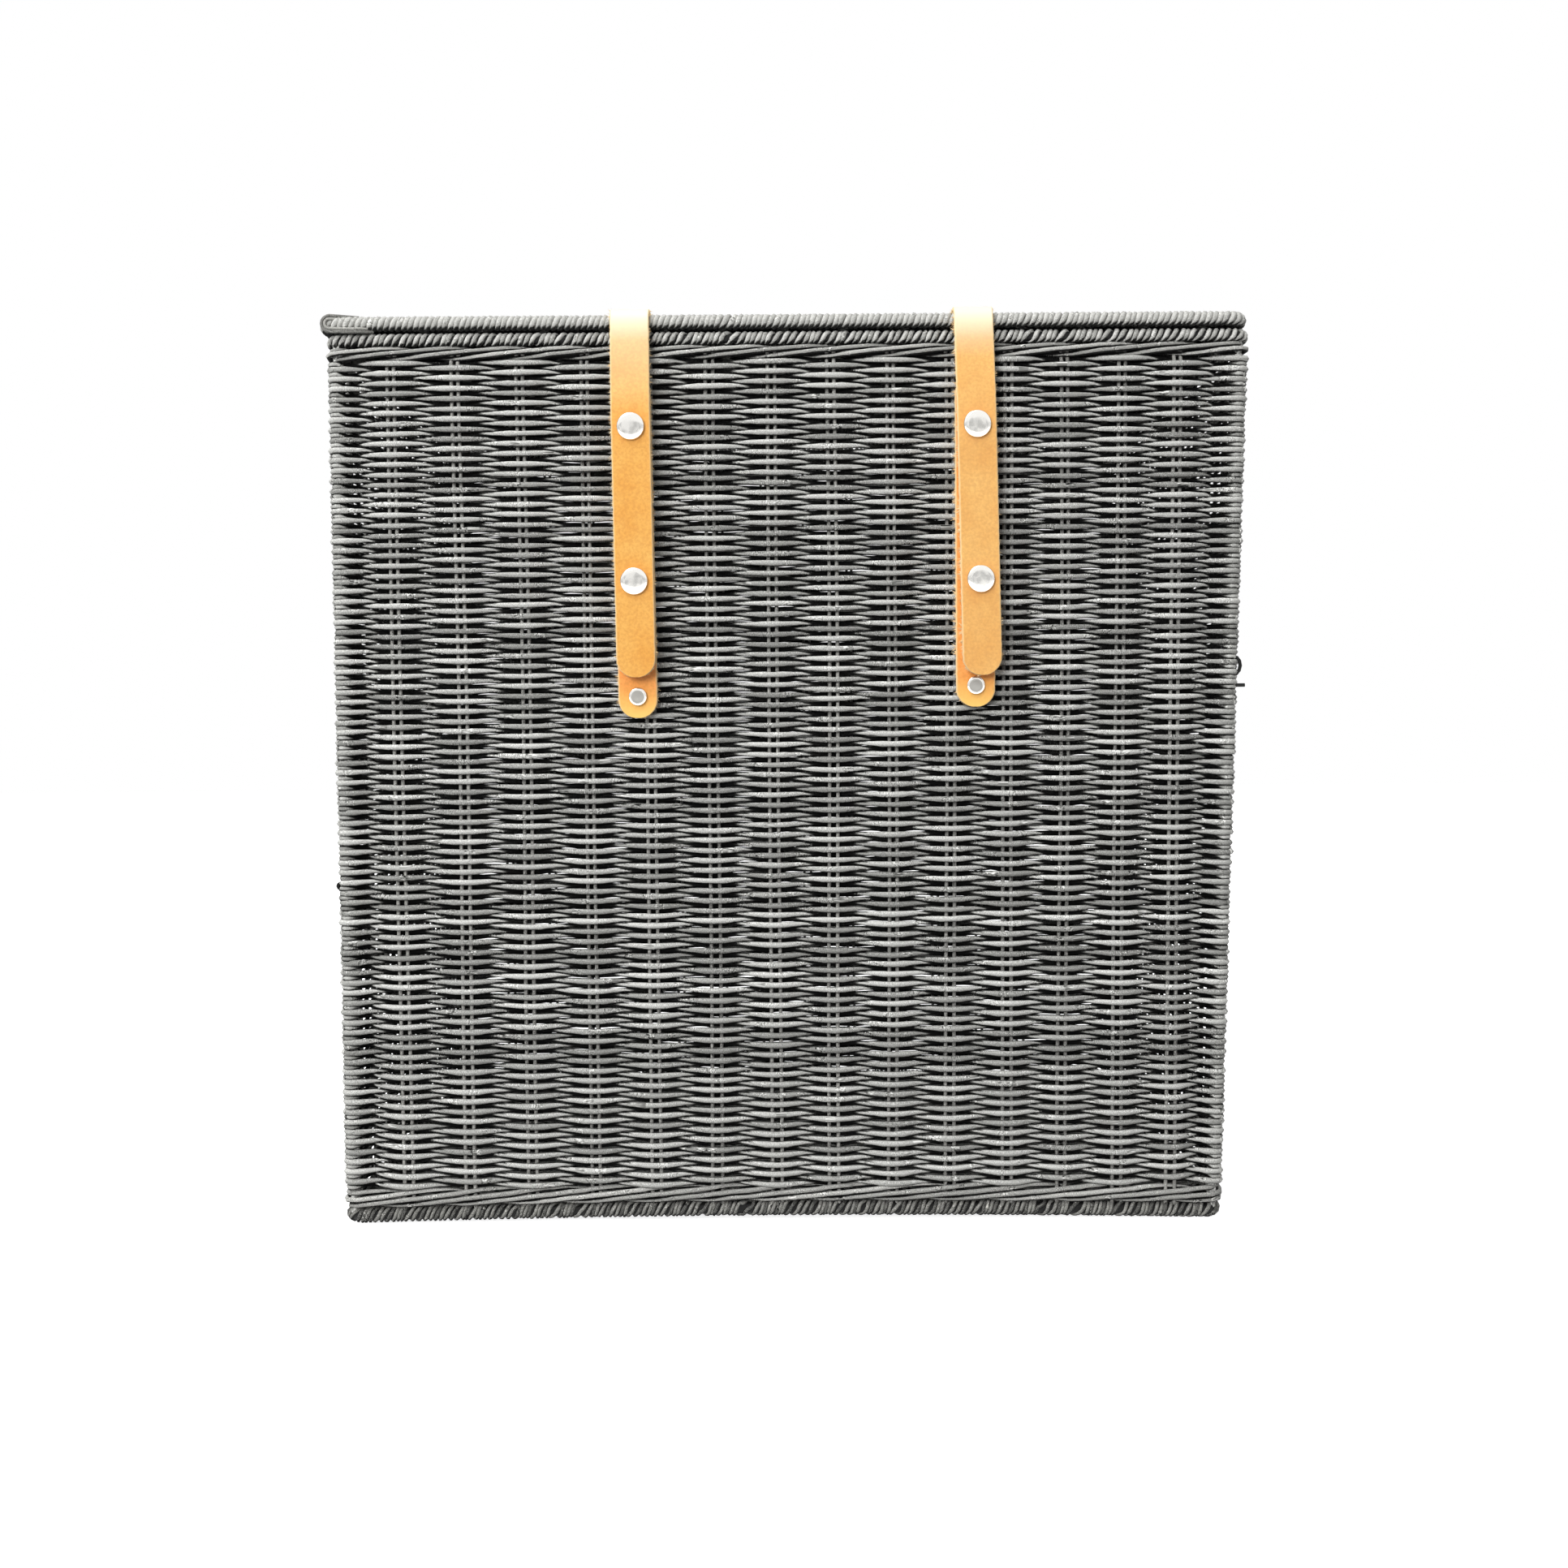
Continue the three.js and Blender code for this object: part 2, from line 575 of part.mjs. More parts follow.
// The closing strap hangs from the fold, slopes out to the upper snap and runs down along the wall
function closingStrap(strap) {
  const rail = new THREE.Vector3(0, -lidRailY, lidHeight).sub(faceOrigin);
  rail.applyAxisAngle(new THREE.Vector3(1, 0, 0), -faceLean);
  const centre = new THREE.Vector2(rail.y, rail.z);
  const flatTop = new THREE.Vector2(-closingBack, -SNAP_DOWN + STRAP_FLAT_ABOVE_SNAP);
  const end = -SNAP_DOWN - SNAP_SPACING - CLOSING_STRAP_BELOW_SNAP;
  const reach = flatTop.clone().sub(centre);
  const leave = Math.acos(bendInner / reach.length()) - Math.atan2(-reach.y, -reach.x);
  const points = [
    ...bend(centre, FOLD_ANGLE - foldHalfAngle, leave),
    flatTop,
    new THREE.Vector2(-closingBack, end),
  ];
  const strapSide = sideways(strip(points, LEATHER_THICKNESS), STRAP_WIDTH);
  const top = centre.y + bendOuter;
  const plan = facingFront(strapOutline(top, end, false, true), 2 * closingFront);
  plan.translate(0, closingFront / 2, 0);
  const holes = snapDowns.map((down) =>
    faceHole({ x: 0, z: -down }, CAP_SHANK_DIAMETER, closingBack - CUT_PAST, closingFront + CUT_PAST),
  );
  return cut(common(strapSide, plan), holes).rotateY(-strap.lean).translate(strap.x, 0, 0);
}

// Snap pieces. The stud stops just short of its socket, so that the lid can lift with the straps as shown
function snapCap() {
  const shank = CAP_SHANK_DIAMETER / 2;
  const depth = LEATHER_THICKNESS + 2 * CLEARANCE + SOCKET_BACK;
  return turned([
    [0, -depth],
    [shank, -depth],
    [shank, 0],
    [CAP_DIAMETER / 2, 0],
    ...dome(CAP_DIAMETER, CAP_EDGE, CAP_HEIGHT),
  ]);
}

function snapSocket() {
  const hole = CAP_SHANK_DIAMETER / 2 + CLEARANCE;
  return turned([
    [SOCKET_BORE / 2, -SOCKET_THICKNESS],
    [SOCKET_DIAMETER / 2, -SOCKET_THICKNESS],
    [SOCKET_DIAMETER / 2, 0],
    [hole, 0],
    [hole, -SOCKET_BACK],
    [SOCKET_BORE / 2, -SOCKET_BACK],
    [SOCKET_BORE / 2, -SOCKET_THICKNESS],
  ]);
}

function snapStud() {
  const hole = POST_SHANK_DIAMETER / 2 + CLEARANCE;
  const top = STUD_FLANGE + NUB_HEIGHT;
  return turned([
    [hole, 0],
    [STUD_DIAMETER / 2, 0],
    [STUD_DIAMETER / 2, STUD_FLANGE],
    [NUB_DIAMETER / 2, STUD_FLANGE],
    [NUB_DIAMETER / 2, top],
    [hole, top],
    [hole, 0],
  ]);
}

function studPost() {
  const length = LEATHER_THICKNESS + 2 * CLEARANCE + STUD_FLANGE;
  return turned([
    [0, -POST_FLANGE],
    [POST_FLANGE_DIAMETER / 2, -POST_FLANGE],
    [POST_FLANGE_DIAMETER / 2, 0],
    [POST_SHANK_DIAMETER / 2, 0],
    [POST_SHANK_DIAMETER / 2, length],
    [0, length],
  ]);
}

// The woven body on its frame
function basketBody() {
  const body = new THREE.Group();
  const rivetHoles = STRAPS.flatMap(rivetPlaces).map((p) =>
    faceHole(p, RIVET_SHANK_DIAMETER, -WALL_THICKNESS - CUT_PAST, CUT_PAST)
      .rotateX(faceLean)
      .translate(...faceOrigin.toArray()),
  );
  // The back wall is drawn facing front and turned about, so its loops lie on the other side here
  const loopNotches = loopPlaces.map(([, x]) => loopRoom(-x, -rimRailY, rimRailZ));
  const wide = { halfEdgeAt: halfWidthAt, faceAt: halfDepthAt };
  const deep = { halfEdgeAt: halfDepthAt, faceAt: halfWidthAt };
  const wideColumns = stakeColumns(RIM_WIDTH, footWidth);
  const deepColumns = stakeColumns(RIM_DEPTH, footDepth);
  const walls = [
    ["front", 0, { ...wide, columns: frontColumns(), holes: rivetHoles }],
    ["right", Math.PI / 2, { ...deep, columns: deepColumns }],
    ["back", Math.PI, { ...wide, columns: wideColumns, holes: loopNotches, stakeHoles: loopNotches }],
    ["left", -Math.PI / 2, { ...deep, columns: deepColumns }],
  ];
  for (const [side, turn, shape] of walls) {
    const { weave, stakes } = wall(shape);
    const placed = new THREE.Group();
    placed.rotation.z = turn;
    placed.add(piece(`${side}_weave`, weave, WEAVE), piece(`${side}_stakes`, stakes, CANE));
    body.add(placed);
  }

  const baseInset = Math.max(FOOT_RAIL_DIAMETER, WALL_THICKNESS) + CLEARANCE;
  const base = panel({
    width: footWidth - 2 * baseInset,
    depth: footDepth - 2 * baseInset,
    thickness: BASE_THICKNESS,
    columns: wideColumns.map((c) => c.foot),
    stakeEnd: CLEARANCE,
  });
  const basePlace = new THREE.Group();
  basePlace.position.z = BASE_RISE + BASE_THICKNESS / 2;
  basePlace.add(piece("base_weave", base.weave, WEAVE), piece("base_stakes", base.stakes, CANE));
  body.add(basePlace);

  const footZ = FOOT_RAIL_DIAMETER / 2 - FOOT_RAIL_FLAT;
  body.add(...rails("foot_rail", footWidth, footDepth, FOOT_RAIL_DIAMETER, footZ, footRail));
  body.add(...rails("rim_rail", RIM_WIDTH, RIM_DEPTH, RIM_RAIL_DIAMETER, rimRailZ, roundRail));
  body.add(...cornerPosts());
  body.add(...loopPlaces.map(([side, x]) => hingeLoop(`hinge_loop_${side}`, x)));
  return body;
}

// What is riveted to the front face: under straps with their rivets, studs and stud posts
function frontFittings() {
  const fittings = STRAPS.flatMap((strap) => {
    const grip = underFront + WALL_THICKNESS + 2 * CLEARANCE;
    const rivets = rivetPlaces(strap).map((place, i) =>
      piece(
        `under_rivet_${strap.side}_${i ? "lower" : "upper"}`,
        outward(rivet(grip), place, underFront + CLEARANCE),
        NICKEL,
      ),
    );
    const snaps = snapPlaces(strap).flatMap((place, i) => {
      const where = `${strap.side}_${i ? "lower" : "upper"}`;
      return [
        piece(`snap_stud_${where}`, outward(snapStud(), place, studSeat), NICKEL),
        piece(`snap_post_${where}`, outward(studPost(), place, underBack - CLEARANCE), NICKEL),
      ];
    });
    return [piece(`under_strap_${strap.side}`, underStrap(strap), LEATHER), ...rivets, ...snaps];
  });
  return onFace(fittings);
}

// The lid with the riveted tabs of the straps
function lid() {
  const lidGroup = new THREE.Group();
  const tabTop = lidHeight + bendOuter;
  const rivetHoles = STRAPS.flatMap(tabRivetPlaces).map((place) =>
    uprightHole(place, -LID_THICKNESS, LID_THICKNESS),
  );
  const loopNotches = loopPlaces.map(([, x]) => loopRoom(x, lidRailY, 0));
  const woven = panel({
    width: lidWidth - 2 * (LID_RAIL_DIAMETER + CLEARANCE),
    depth: lidDepth - 2 * (LID_RAIL_DIAMETER + CLEARANCE),
    thickness: LID_THICKNESS,
    columns: frontColumns().map((c) => c.rim),
    stakeEnd: loopReach - LID_RAIL_DIAMETER / 2,
    holes: [...rivetHoles, ...loopNotches],
  });
  const place = new THREE.Group();
  place.position.z = lidHeight;
  place.add(piece("lid_weave", woven.weave, WEAVE), piece("lid_stakes", woven.stakes, CANE));
  lidGroup.add(place);
  lidGroup.add(...rails("lid_rail", lidWidth, lidDepth, LID_RAIL_DIAMETER, lidHeight, roundRail));

  const grip = tabTop + CLEARANCE - (lidHeight - LID_THICKNESS / 2 - CLEARANCE);
  for (const strap of STRAPS) {
    lidGroup.add(piece(`strap_tab_${strap.side}`, strapTab(strap), LEATHER));
    tabRivetPlaces(strap).forEach(({ x, y }, i) => {
      const set = rivet(grip).rotateX(Math.PI / 2).translate(x, y, tabTop + CLEARANCE);
      lidGroup.add(piece(`tab_rivet_${strap.side}_${i ? "rear" : "front"}`, set, NICKEL));
    });
  }
  return lidGroup;
}

// A closing strap with the caps and sockets clenched through it
function closingStrapGroup(strap) {
  const parts = snapPlaces(strap).flatMap((place, i) => {
    const where = `${strap.side}_${i ? "lower" : "upper"}`;
    return [
      piece(`snap_cap_${where}`, outward(snapCap(), place, capSeat), NICKEL),
      piece(`snap_socket_${where}`, outward(snapSocket(), place, socketSeat), NICKEL),
    ];
  });
  return onFace([piece(`closing_strap_${strap.side}`, closingStrap(strap), LEATHER), ...parts]);
}

// The origin stands midway between the foremost snap cap and the backs of the hinge loops
const capFront = capSeat + CAP_HEIGHT;
const snapDrop = SNAP_DOWN * Math.cos(Math.min(...STRAPS.map((s) => Math.abs(s.lean))));
const frontReach = RIM_DEPTH / 2 + capFront * Math.cos(faceLean) - snapDrop * Math.sin(faceLean);
const backReach = lidRailY + loopOuter;

const basket = new THREE.Group();
basket.add(basketBody(), frontFittings(), lid(), ...STRAPS.map(closingStrapGroup));
basket.position.y = (frontReach - backReach) / 2;

export default basket;
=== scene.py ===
import math
import random

import bmesh
import bpy
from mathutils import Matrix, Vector, noise


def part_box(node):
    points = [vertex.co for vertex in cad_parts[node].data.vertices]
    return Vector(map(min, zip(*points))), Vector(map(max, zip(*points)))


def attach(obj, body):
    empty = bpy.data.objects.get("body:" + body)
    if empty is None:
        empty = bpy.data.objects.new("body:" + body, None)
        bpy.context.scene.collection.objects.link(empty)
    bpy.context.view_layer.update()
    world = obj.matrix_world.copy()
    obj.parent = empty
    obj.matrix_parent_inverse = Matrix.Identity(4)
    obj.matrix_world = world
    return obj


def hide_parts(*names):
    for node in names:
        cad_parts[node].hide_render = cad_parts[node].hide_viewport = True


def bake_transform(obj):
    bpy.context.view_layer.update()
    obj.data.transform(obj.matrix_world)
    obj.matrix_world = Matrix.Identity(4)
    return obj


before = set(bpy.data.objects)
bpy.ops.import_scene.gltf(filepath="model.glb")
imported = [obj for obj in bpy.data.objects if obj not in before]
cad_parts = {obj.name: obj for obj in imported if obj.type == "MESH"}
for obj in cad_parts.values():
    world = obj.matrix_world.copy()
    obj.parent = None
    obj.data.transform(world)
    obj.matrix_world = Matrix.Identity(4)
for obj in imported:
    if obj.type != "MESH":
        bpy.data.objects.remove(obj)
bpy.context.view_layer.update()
scene = bpy.context.scene
MM = 0.001

# Upright stakes and corner posts. Round rattan core, soaked, set in pairs into the foot rail and turned in
# under the rim. A thicker cane stands in each corner. All of it is stained the grey of the weave.
STAKE = 2.0 * MM
STAKE_PAIR, PAIR_SPREAD = 3.2 * MM, (0.92, 1.25)
FOOT_PAIR = 1.4
STAKE_FROM, STAKE_BELOW_RIM, STAKE_STEPS = 4 * MM, 5 * MM, 14
TURN_IN, TURNED_FROM, TURNED_BY = 3 * MM, 446 * MM, 8 * MM
BOW_MM, BOW_RATE, BOW_PHASE = 0.7, 14, 9000
POST = 5 * MM
POST_INSET, POST_FROM, POST_SHORT = 2.5 * MM, 5 * MM, 9 * MM
WALL = 8 * MM
FRONT_DRIFT = 9 * MM
LONG_STAKES, SHORT_STAKES = 14, 10
RIM_STAKES, FOOT_STAKES = (204 * MM, 135 * MM), (199 * MM, 131 * MM)

rim_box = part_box("rim_rail_front")[0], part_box("rim_rail_back")[1]
foot_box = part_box("foot_rail_front")[0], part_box("foot_rail_back")[1]
rim_top = rim_box[1].z
middle_y = (rim_box[0].y + rim_box[1].y) / 2
rim_half = Vector((rim_box[1].x, rim_box[1].y - middle_y))
foot_half = Vector((foot_box[1].x, foot_box[1].y - middle_y))

# The real basket has settled: it has spread a little, and its foot stands to the left of its rim
FOOT_SPREAD, RIM_SPREAD = 2.7 * MM, 1.0 * MM
FOOT_ASIDE, RIM_ASIDE = -3.2 * MM, 2.2 * MM


def weave_plane(z):
    """Half width and half depth of the middle of the woven walls at a height."""
    half = foot_half.lerp(rim_half, z / rim_top)
    spread_by = FOOT_SPREAD + (RIM_SPREAD - FOOT_SPREAD) * z / rim_top
    return half + Vector((spread_by - WALL / 2, -WALL / 2))


def settled(z):
    """How far the basket stands to the right at a height."""
    return FOOT_ASIDE + (RIM_ASIDE - FOOT_ASIDE) * z / rim_top


def stake_places(sides, count, drift=0.0):
    """Places of the stakes along a wall, each at the foot and at the rim."""
    shares = [2 * i / (count - 1) - 1 for i in range(count)]
    shift = [drift * (1 - s * s) for s in shares]
    return [(FOOT_STAKES[sides] * s + d, RIM_STAKES[sides] * s + d) for s, d in zip(shares, shift)]


# The four walls in order round the basket: name, quarter turn, whether it is a side wall, its stakes, and
# which of two neighbouring rows passes in front of its first stake
WALLS = [
    ("front", 0, 0, stake_places(0, LONG_STAKES, FRONT_DRIFT), 0),
    ("right", 1, 1, stake_places(1, SHORT_STAKES), 1),
    ("back", 2, 0, stake_places(0, LONG_STAKES), 0),
    ("left", 3, 1, stake_places(1, SHORT_STAKES), 1),
]


def on_wall(turn, sides, along, z, inward=0.0):
    """A point of a wall's middle plane, from its place along the wall and its height."""
    away = weave_plane(z)[1 - sides] - inward
    aside = settled(z)
    x, y = [(along, -away), (aside + away, along), (-along, away), (aside - away, -along)][turn]
    return Vector((x, y + middle_y, z))


def faced(turn, across, out):
    """A direction given along a wall and out of it."""
    return Vector([(across, -out, 0), (out, across, 0), (-across, out, 0), (-out, -across, 0)][turn])


def add(tree, kind, *wires, named=None, **settings):
    """Adds a node, sets it, wires its open sockets in order or by name, and returns its first output."""
    node = tree.nodes.new(kind)
    for setting, value in settings.items():
        setattr(node, setting, value)
    sockets = [s for s in node.inputs if s.enabled]
    pairs = list(zip(sockets, wires))
    pairs += [(next(s for s in sockets if s.name == key), value) for key, value in (named or {}).items()]
    for socket, value in pairs:
        if isinstance(value, bpy.types.NodeSocket):
            tree.links.new(value, socket)
        elif value is not None:
            socket.default_value = value
    return next((s for s in node.outputs if s.enabled), node)


def tree_with(name, **inputs):
    """A geometry tree with named inputs, and the sockets that bring them in."""
    tree = bpy.data.node_groups.new(name, "GeometryNodeTree")
    tree.interface.new_socket("Geometry", in_out="OUTPUT", socket_type="NodeSocketGeometry")
    for label, kind in inputs.items():
        tree.interface.new_socket(label, in_out="INPUT", socket_type="NodeSocket" + kind)
    start = tree.nodes.new("NodeGroupInput")
    return tree, {s.name: s for s in start.outputs if s.name}


def close_tree(tree, geometry, material):
    """Ends a tree in plain geometry with its material."""
    plain = add(tree, "GeometryNodeRealizeInstances", geometry)
    finished = add(tree, "GeometryNodeSetMaterial", named={"Geometry": plain, "Material": material})
    add(tree, "NodeGroupOutput", finished)


def grown(name, tree, source, **inputs):
    """A plain mesh object that a tree makes from a source mesh."""
    piece = bpy.data.objects.new(name, source)
    scene.collection.objects.link(piece)
    modifier = piece.modifiers.new(tree.name, "NODES")
    modifier.node_group = tree
    sockets = {s.name: s.identifier for s in tree.interface.items_tree if s.in_out == "INPUT"}
    for label, value in inputs.items():
        modifier[sockets[label]] = value
    ready = piece.evaluated_get(bpy.context.evaluated_depsgraph_get())
    mesh = bpy.data.meshes.new_from_object(ready)
    piece.modifiers.remove(modifier)
    piece.data = mesh
    mesh.name = name
    return piece


def fit(piece, body, slot, *nodes):
    """Sets a finished piece on its body and hides the CAD nodes that it stands for. Its finish is not used.
    """
    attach(piece, body)
    if nodes:
        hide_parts(*nodes)
    return piece


def carry(mesh, fields):
    """Puts vectors or numbers on a mesh's points, under the names that trees and materials read."""
    for field, values in fields.items():
        vectors = isinstance(values[0], Vector)
        layer = mesh.attributes.new(field, "FLOAT_VECTOR" if vectors else "FLOAT", "POINT")
        flat = [c for v in values for c in v] if vectors else values
        layer.data.foreach_set("vector" if vectors else "value", flat)


def lines(name, runs, closed=False, **fields):
    """A mesh of open or closed runs of edges, with vectors or numbers carried on its points."""
    points, edges = [], []
    for run in runs:
        first, last = len(points), len(points) + len(run) - 1
        points += run
        edges += [(i, i + 1) for i in range(first, last)]
        if closed:
            edges.append((last, first))
    mesh = bpy.data.meshes.new(name)
    mesh.from_pydata(points, edges, [])
    carry(mesh, fields)
    return mesh


def linear(code, alpha=1.0):
    """An sRGB hex colour as linear light."""
    parts = [int(code[i:i + 2], 16) / 255 for i in (1, 3, 5)]
    return [c / 12.92 if c <= 0.04045 else ((c + 0.055) / 1.055) ** 2.4 for c in parts] + [alpha]


# The skin of every strand: a round section along a path, uneven as split cane is. It leaves the strand's
# tone, the distance along it, the direction round it, how far it faces the next row, and how much painted
# shade it takes where it faces what it lies on or the crease beside a neighbour.
# Its cut ends stay flat. Four numbers in brackets are a range that is read and the range that it gives.
# The numbers after a noise's place are its scale, its detail and its roughness.
SWELLS_PER_METRE, SWELL = 45.0, (0.25, 0.75, -1.0, 1.0)
NOISE_APART = 10.0
# GROOVE marks for painted shade a face that looks into the crease beside a neighbouring strand or turn.
GROOVE = (0.77, 0.97, 0.0, 0.5)
SIDE_CORNERS = 4
strand_skin, given = tree_with(
    "strand_skin", Path="Geometry", Thickness="Float", Sides="Int", Uneven="Float", Seed="Int"
)
tone = add(strand_skin, "FunctionNodeRandomValue", named={"Seed": given["Seed"]}, data_type="FLOAT")
toned = add(
    strand_skin, "GeometryNodeStoreNamedAttribute", given["Path"], True, "tone", tone, domain="CURVE"
)
length = add(strand_skin, "GeometryNodeSplineParameter").node.outputs["Length"]
start = add(strand_skin, "ShaderNodeMath", tone, NOISE_APART, operation="MULTIPLY")
reach = add(strand_skin, "ShaderNodeMath", length, start, operation="ADD")
measured = add(strand_skin, "GeometryNodeStoreNamedAttribute", toned, True, "along", reach, domain="POINT")
circle = add(strand_skin, "GeometryNodeCurvePrimitiveCircle", given["Sides"], 0.5)
place = add(strand_skin, "GeometryNodeInputPosition")
facing = add(strand_skin, "ShaderNodeVectorMath", place, 2.0, operation="SCALE")
section = add(
    strand_skin, "GeometryNodeStoreNamedAttribute", circle, True, "skin", facing,
    data_type="FLOAT_VECTOR", domain="POINT",
)
swell = add(strand_skin, "ShaderNodeTexNoise", reach, SWELLS_PER_METRE, 1.0, noise_dimensions="1D")
lumps = add(strand_skin, "ShaderNodeMapRange", swell, *SWELL)
change = add(strand_skin, "ShaderNodeMath", lumps, given["Uneven"], 1.0, operation="MULTIPLY_ADD")
full = add(strand_skin, "ShaderNodeMath", change, given["Thickness"], operation="MULTIPLY")
slim = add(strand_skin, "GeometryNodeInputNamedAttribute", "slim", data_type="FLOAT")
squeezed = add(strand_skin, "ShaderNodeMath", 1.0, slim, operation="SUBTRACT")
width = add(strand_skin, "ShaderNodeMath", full, squeezed, operation="MULTIPLY")
tube = add(strand_skin, "GeometryNodeCurveToMesh", measured, section, width, True)
beside = add(strand_skin, "GeometryNodeInputNamedAttribute", "beside", data_type="FLOAT_VECTOR")
outside = add(strand_skin, "GeometryNodeInputNormal")
towards = add(strand_skin, "ShaderNodeVectorMath", outside, beside, operation="DOT_PRODUCT")
topped = add(strand_skin, "GeometryNodeStoreNamedAttribute", tube, True, "upper", towards, domain="POINT")
lifted = add(strand_skin, "GeometryNodeInputNamedAttribute", "lifted", data_type="FLOAT_VECTOR")
away = add(strand_skin, "ShaderNodeVectorMath", outside, lifted, operation="DOT_PRODUCT")
inwards = add(strand_skin, "ShaderNodeMath", away, -1.0, operation="MULTIPLY", use_clamp=True)
flank = add(strand_skin, "GeometryNodeInputNamedAttribute", "flank", data_type="FLOAT_VECTOR")
sideways = add(strand_skin, "ShaderNodeVectorMath", outside, flank, operation="DOT_PRODUCT")
either = add(strand_skin, "ShaderNodeMath", sideways, operation="ABSOLUTE")
groove = add(strand_skin, "ShaderNodeMapRange", either, *GROOVE)
shade_amount = add(strand_skin, "ShaderNodeMath", inwards, groove, operation="MAXIMUM")
recess_shade = add(
    strand_skin, "GeometryNodeStoreNamedAttribute", topped, True, "recess_shade", shade_amount, domain="POINT"
)
corners = add(strand_skin, "GeometryNodeInputMeshFaceNeighbors")
side_face = add(
    strand_skin, "FunctionNodeCompare", corners, SIDE_CORNERS, data_type="INT", operation="EQUAL"
)
rounded = add(strand_skin, "GeometryNodeSetShadeSmooth", recess_shade, True, side_face)
add(strand_skin, "NodeGroupOutput", rounded)

# A bare cane swept along its own path
cane, given = tree_with(
    "cane", Path="Geometry", Thickness="Float", Sides="Int", Uneven="Float", Seed="Int",
    Material="Material",
)
path = add(cane, "GeometryNodeMeshToCurve", given["Path"])
sizes = [given[label] for label in ("Thickness", "Sides", "Uneven", "Seed")]
close_tree(cane, add(cane, "GeometryNodeGroup", path, *sizes, node_tree=strand_skin), given["Material"])

# Rattan core, stained in a bath and left bare. The stain lies in long pale and dark streaks along the fibres
# and differs from strand to strand on a dry surface. Shade is painted on too: each strand is darker on its
# underside, in the grooves beside its neighbours, and where it faces the stakes or lies behind the next row.
# The real fibres are about 0.3 mm wide and are drawn at about 0.7 mm so that they show.
FIBRES_ROUND = 2.2
FIBRE_STRETCH = 22.0
PATCH_LENGTH = 40 * MM
FIBRE_DEPTH, FIBRE_RELIEF = 0.12 * MM, 0.6
STRAND_TONES = (0.0, 1.0, 0.4, 0.76)
FIBRE_TONES = (0.3, 0.7, -0.5, 0.5)
PATCH_TONES = (0.3, 0.7, -0.28, 0.28)
# The next two ranges are painted shade: darker on undersides, and darker in grooves and recesses.
UNDERSIDE_SHADE_TONES = (-0.95, -0.6, -0.75, 0.0)
RECESS_SHADE_TONES = (0.2, 0.5, 0.0, -0.95)
CORE_ROUGHNESS = (0.1, 0.7, 0.95, 0.4)
DRY = 0.2


def rattan(name, shade, body, shine):
    """Stained rattan core, from its darkest, where shade is painted, over its plain grey to its palest
    streaks.
    """
    material = bpy.data.materials.new(name)
    material.use_nodes = True
    tree = material.node_tree
    shader = tree.nodes["Principled BSDF"]
    shader.inputs["Specular IOR Level"].default_value = DRY
    round_it = add(tree, "ShaderNodeAttribute", attribute_name="skin").node.outputs["Vector"]
    along_it, strand, upper, hidden = (
        add(tree, "ShaderNodeAttribute", attribute_name=mark).node.outputs["Fac"]
        for mark in ("along", "tone", "upper", "recess_shade")
    )
    lengthwise = add(tree, "ShaderNodeCombineXYZ", 0.0, 0.0, along_it)
    fibre_place, patch_place = (
        add(
            tree, "ShaderNodeVectorMath", lengthwise, (1.0, 1.0, stretch), round_it,
            operation="MULTIPLY_ADD",
        )
        for stretch in (FIBRE_STRETCH, 1 / PATCH_LENGTH)
    )
    fibres = add(tree, "ShaderNodeTexNoise", fibre_place, FIBRES_ROUND, 3.0, 0.6)
    patches = add(tree, "ShaderNodeTexNoise", patch_place, 1.0, 2.0, 0.55)
    total = add(tree, "ShaderNodeMapRange", strand, *STRAND_TONES)
    for cause, tones in (
        (fibres, FIBRE_TONES), (patches, PATCH_TONES), (upper, UNDERSIDE_SHADE_TONES), (hidden, RECESS_SHADE_TONES)
    ):
        change = add(tree, "ShaderNodeMapRange", cause, *tones)
        total = add(tree, "ShaderNodeMath", total, change, operation="ADD")
    ramp = add(tree, "ShaderNodeValToRGB", total)
    stops = ramp.node.color_ramp.elements
    stops[0].color, stops[1].color = linear(shade), linear(shine)
    stops.new(0.5).color = linear(body)
    tree.links.new(ramp, shader.inputs["Base Color"])
    rough = add(tree, "ShaderNodeMapRange", total, *CORE_ROUGHNESS)
    tree.links.new(rough, shader.inputs["Roughness"])
    relief = {"Strength": FIBRE_RELIEF, "Distance": FIBRE_DEPTH, "Height": fibres}
    tree.links.new(add(tree, "ShaderNodeBump", named=relief), shader.inputs["Normal"])
    return material


stained_core = rattan("stained_rattan_core", "#080808", "#8f8f8b", "#f0f0ec")
# Paler copies of the same core paint light on: one on the raised waling, and a paler one on the rim and lid
# bindings.
waling_core_lit_copy = rattan("rattan_core_painted_highlight", "#080808", "#989894", "#fcfbf6")
binding_core_lit_copy = rattan("rattan_binding_painted_light", "#080808", "#b4b4af", "#fdfcf8")
stained_cane = rattan("stained_cane", "#242423", "#858481", "#cccbc5")

